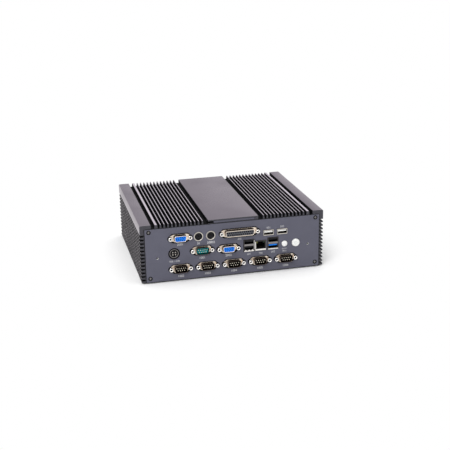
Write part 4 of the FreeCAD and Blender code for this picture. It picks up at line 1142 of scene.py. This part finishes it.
# Shields of the double ports in the darkened plate, as painted shade
make_usb("usb_stack_left", SHIELD, 0.9, STACK_OPENINGS, [
    ("usb_stack_left_tongues", 2, BLACK, "black_plastic"),
])
make_usb("usb_stack_right", SHIELD, 0.9, STACK_OPENINGS, [
    ("usb_stack_right_lower_tongue", 1, TONGUE_BLUE, "blue_tongue"),
    ("usb_stack_right_upper_tongue", 1, BLACK, "black_plastic"),
])
make_stack_lips()
make_network_port()


# Push buttons

def make_button(name):
    """A domed cap with ears behind the panel, and a stem to its switch."""
    low, high = span(name)
    x, z = centre(name)
    radius = BUTTON_RADIUS[name]
    ear_front = low.y + 3.2
    ear_back = ear_front + 1.2
    profile = [(0.4, low.y), (radius * 0.55, low.y + 0.04), (radius * 0.82, low.y + 0.16),
               (radius * 0.94, low.y + 0.38), (radius, low.y + 0.8), (radius, ear_front)]
    cap = lathe(profile, x, z, 56)
    ears = box(low.x, high.x, ear_front, ear_back, z - STEM_HALF, z + STEM_HALF, 0.2)
    stem = box(x - STEM_HALF, x + STEM_HALF, ear_back, high.y, z - STEM_HALF, z + STEM_HALF, 0.2)
    piece(f"{name}_cap", [cap, ears, stem], WHITE, "white_plastic", name, body=name, sharp=50)


def make_icon(name):
    """A broken ring with a bar in its gap, on a button's cap."""
    x, z = centre(name)
    front = span(name)[0].y
    back = front + 0.2
    gap = 38
    rings = []
    for step in range(25):
        turn = math.radians(90 + gap + step * (360 - 2 * gap) / 24)
        corners = ((1.65, front), (1.65, back), (2.05, back), (2.05, front))
        rings.append([(x + radius * math.cos(turn), y, z + radius * math.sin(turn)) for radius, y in corners])
    bar = box(x - 0.2, x + 0.2, front, back, z + 0.5, z + 2.3)
    piece(f"{name}_icon", [loft(rings), bar], ICON, "white_plastic", body=name)


make_button("power_button")
make_icon("power_button")
make_button("reset_button")


# Printed port numbers

def printed(text, node, rise, size, weight):
    """A number printed on the panel, at a height over a node's middle. weight widens its strokes."""
    x, z = centre(node)
    curve = bpy.data.curves.new("mark", "FONT")
    curve.body = text
    curve.size = size
    curve.offset = weight
    curve.align_x = "CENTER"
    curve.align_y = "CENTER"
    curve.extrude = PRINT_DEPTH
    mesh = curve_mesh(curve)
    front = FACE - PRINT_DEPTH / 2
    vertices = [(vert.co.x + x, front - vert.co.z, vert.co.y + z + rise) for vert in mesh.vertices]
    faces = [list(face.vertices) for face in mesh.polygons]
    bpy.data.meshes.remove(mesh)
    return vertices, faces


def make_print():
    """Plain numbers at the ports, in three sizes and weights."""
    bold = [("2001", "vga_port_1_shell", -8.6), ("2002", "vga_port_2_shell", -9.2),
            ("31", "keyboard_port_ring", -9.2), ("30002", "mouse_port_ring", -9.2)]
    bold += [(f"100{number}", f"serial_port_{number}_shell", -10.0) for number in range(1, 7)]
    fine = [("400", "parallel_port_shell", -8.9), ("501", "usb_port_1_shell", 6.5),
            ("502", "usb_port_2_shell", 6.4), ("601", "usb_stack_left_shell", -11.6),
            ("700", "lan_port_shield", -10.6), ("602", "usb_stack_right_shell", -11.6),
            ("900 1200", "power_inlet_ring", -10.2)]
    small = [("80001", "reset_button", -6.9), ("8002", "reset_button", -10.0)]
    numbers = []
    for marks, size, weight in ((bold, 4.1, 0.06), (fine, 3.6, -0.02), (small, 2.8, -0.03)):
        numbers += [printed(*mark, size, weight) for mark in marks]
    piece("port_numbers", numbers, PRINT, "white_plastic")


make_print()


# Materials of the CAD nodes that stay

KEPT_NODES = [
    (PAINT, ["bottom_cover", "slot_strip"]),
    (BLACK, ["lan_port_insert", "power_switch", "reset_switch", "processor", "memory_chips"]),
    (BOARD, ["main_board", "upper_io_board", "serial_board"]),
    (BRASS, ["board_standoffs"]),
    (ZINC, ["board_screws"]),
    (MILLED, ["heat_block"]),
    (DRIVE_PAINT, ["solid_state_drive"]),
]
for node_material, node_names in KEPT_NODES:
    for node_name in node_names:
        node_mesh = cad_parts[node_name].data
        node_mesh.materials.clear()
        node_mesh.materials.append(node_material)


# Stage, light and camera

def seen_rays(tree):
    """One for what is seen directly, mirrored or through glass, and zero for light that falls on things."""
    ray = add(tree, "LightPath").outputs
    passed = calculated("MAXIMUM", ray["Is Glossy Ray"], ray["Is Transmission Ray"])
    return calculated("MAXIMUM", ray["Is Camera Ray"], passed)


def make_floor():
    """White paper: it takes the object's shadow near it and is plain white farther off."""
    bpy.ops.mesh.primitive_plane_add(size=FLOOR_SIDE)
    floor = bpy.context.object
    floor.name = "floor"
    material, tree, surface = shader("floor_white", (0.94, 0.94, 0.94), 0.9, specular=0.0)
    beyond = add(tree, "TexCoord").outputs["Object"]
    footprint = (HOUSING_HALF * MM, -FACE * MM, 0)
    for operation, sockets in (("ABSOLUTE", {}), ("SUBTRACT", {1: footprint}), ("MAXIMUM", {1: (0, 0, 0)})):
        beyond = add(tree, "VectorMath", {0: beyond, **sockets}, operation=operation).outputs["Vector"]
    distance = add(tree, "VectorMath", {0: beyond}, operation="LENGTH").outputs["Value"]
    share = calculated("MULTIPLY", graded(distance, 0.0, SHADOW_REACH), seen_rays(tree))
    mixed(share, surface, add(tree, "Emission", {"Color": (1, 1, 1, 1), "Strength": 1.0}))
    floor.data.materials.append(material)


def make_world():
    """Pale light from above and behind, less from the front. Camera and reflections see plain white."""
    world = bpy.data.worlds.new("studio")
    bpy.context.scene.world = world
    world.use_nodes = True
    tree = world.node_tree
    place = add(tree, "TexCoord").outputs["Generated"]
    upward = add(tree, "VectorMath", {0: place, 1: (0.0, 0.40, 0.90)}, operation="DOT_PRODUCT")
    stops = [(0.0, (0.18, 0.18, 0.185)), (0.25, (0.50, 0.50, 0.51)), (0.55, (1.0, 1.0, 1.0))]
    colour = ramp(upward.outputs["Value"], stops)
    light = fill(tree.nodes["Background"], {"Color": colour, "Strength": 1.2})
    paper = add(tree, "Background", {"Color": (1, 1, 1, 1), "Strength": 1.0})
    mixed(seen_rays(tree), light, paper, "World Output")


def make_key_light():
    """One broad lamp, up on the left in front of the object."""
    lamp = bpy.data.lights.new("key", "AREA")
    lamp.shape = "RECTANGLE"
    lamp.size = 0.9
    lamp.size_y = 0.9
    lamp.energy = 18
    item = linked("key", lamp)
    item.location = (-0.9, -1.3, 1.3)
    item.rotation_euler = (Vector((0, 0, 0.04)) - item.location).to_track_quat("-Z", "Y").to_euler()


def make_camera():
    """The photograph's viewpoint, found from the ports' known spacing."""
    azimuth, elevation, roll = -0.2326, 0.3233, -0.0180
    target = Vector((-11.22, -97.7, 69.13)) * MM
    distance = 1.1301
    camera = bpy.data.cameras.new("camera")
    camera.sensor_fit = "HORIZONTAL"
    camera.sensor_width = 36.0
    camera.lens = 71.9
    item = linked("camera", camera)
    turn = Matrix.Rotation(azimuth, 4, "Z") @ Matrix.Rotation(math.pi / 2 - elevation, 4, "X")
    turn = turn @ Matrix.Rotation(roll, 4, "Z")
    item.matrix_world = Matrix.Translation(target) @ turn @ Matrix.Translation((0, 0, distance))
    bpy.context.scene.camera = item


make_floor()
make_world()
make_key_light()
make_camera()
bpy.context.scene.view_settings.view_transform = "Standard"
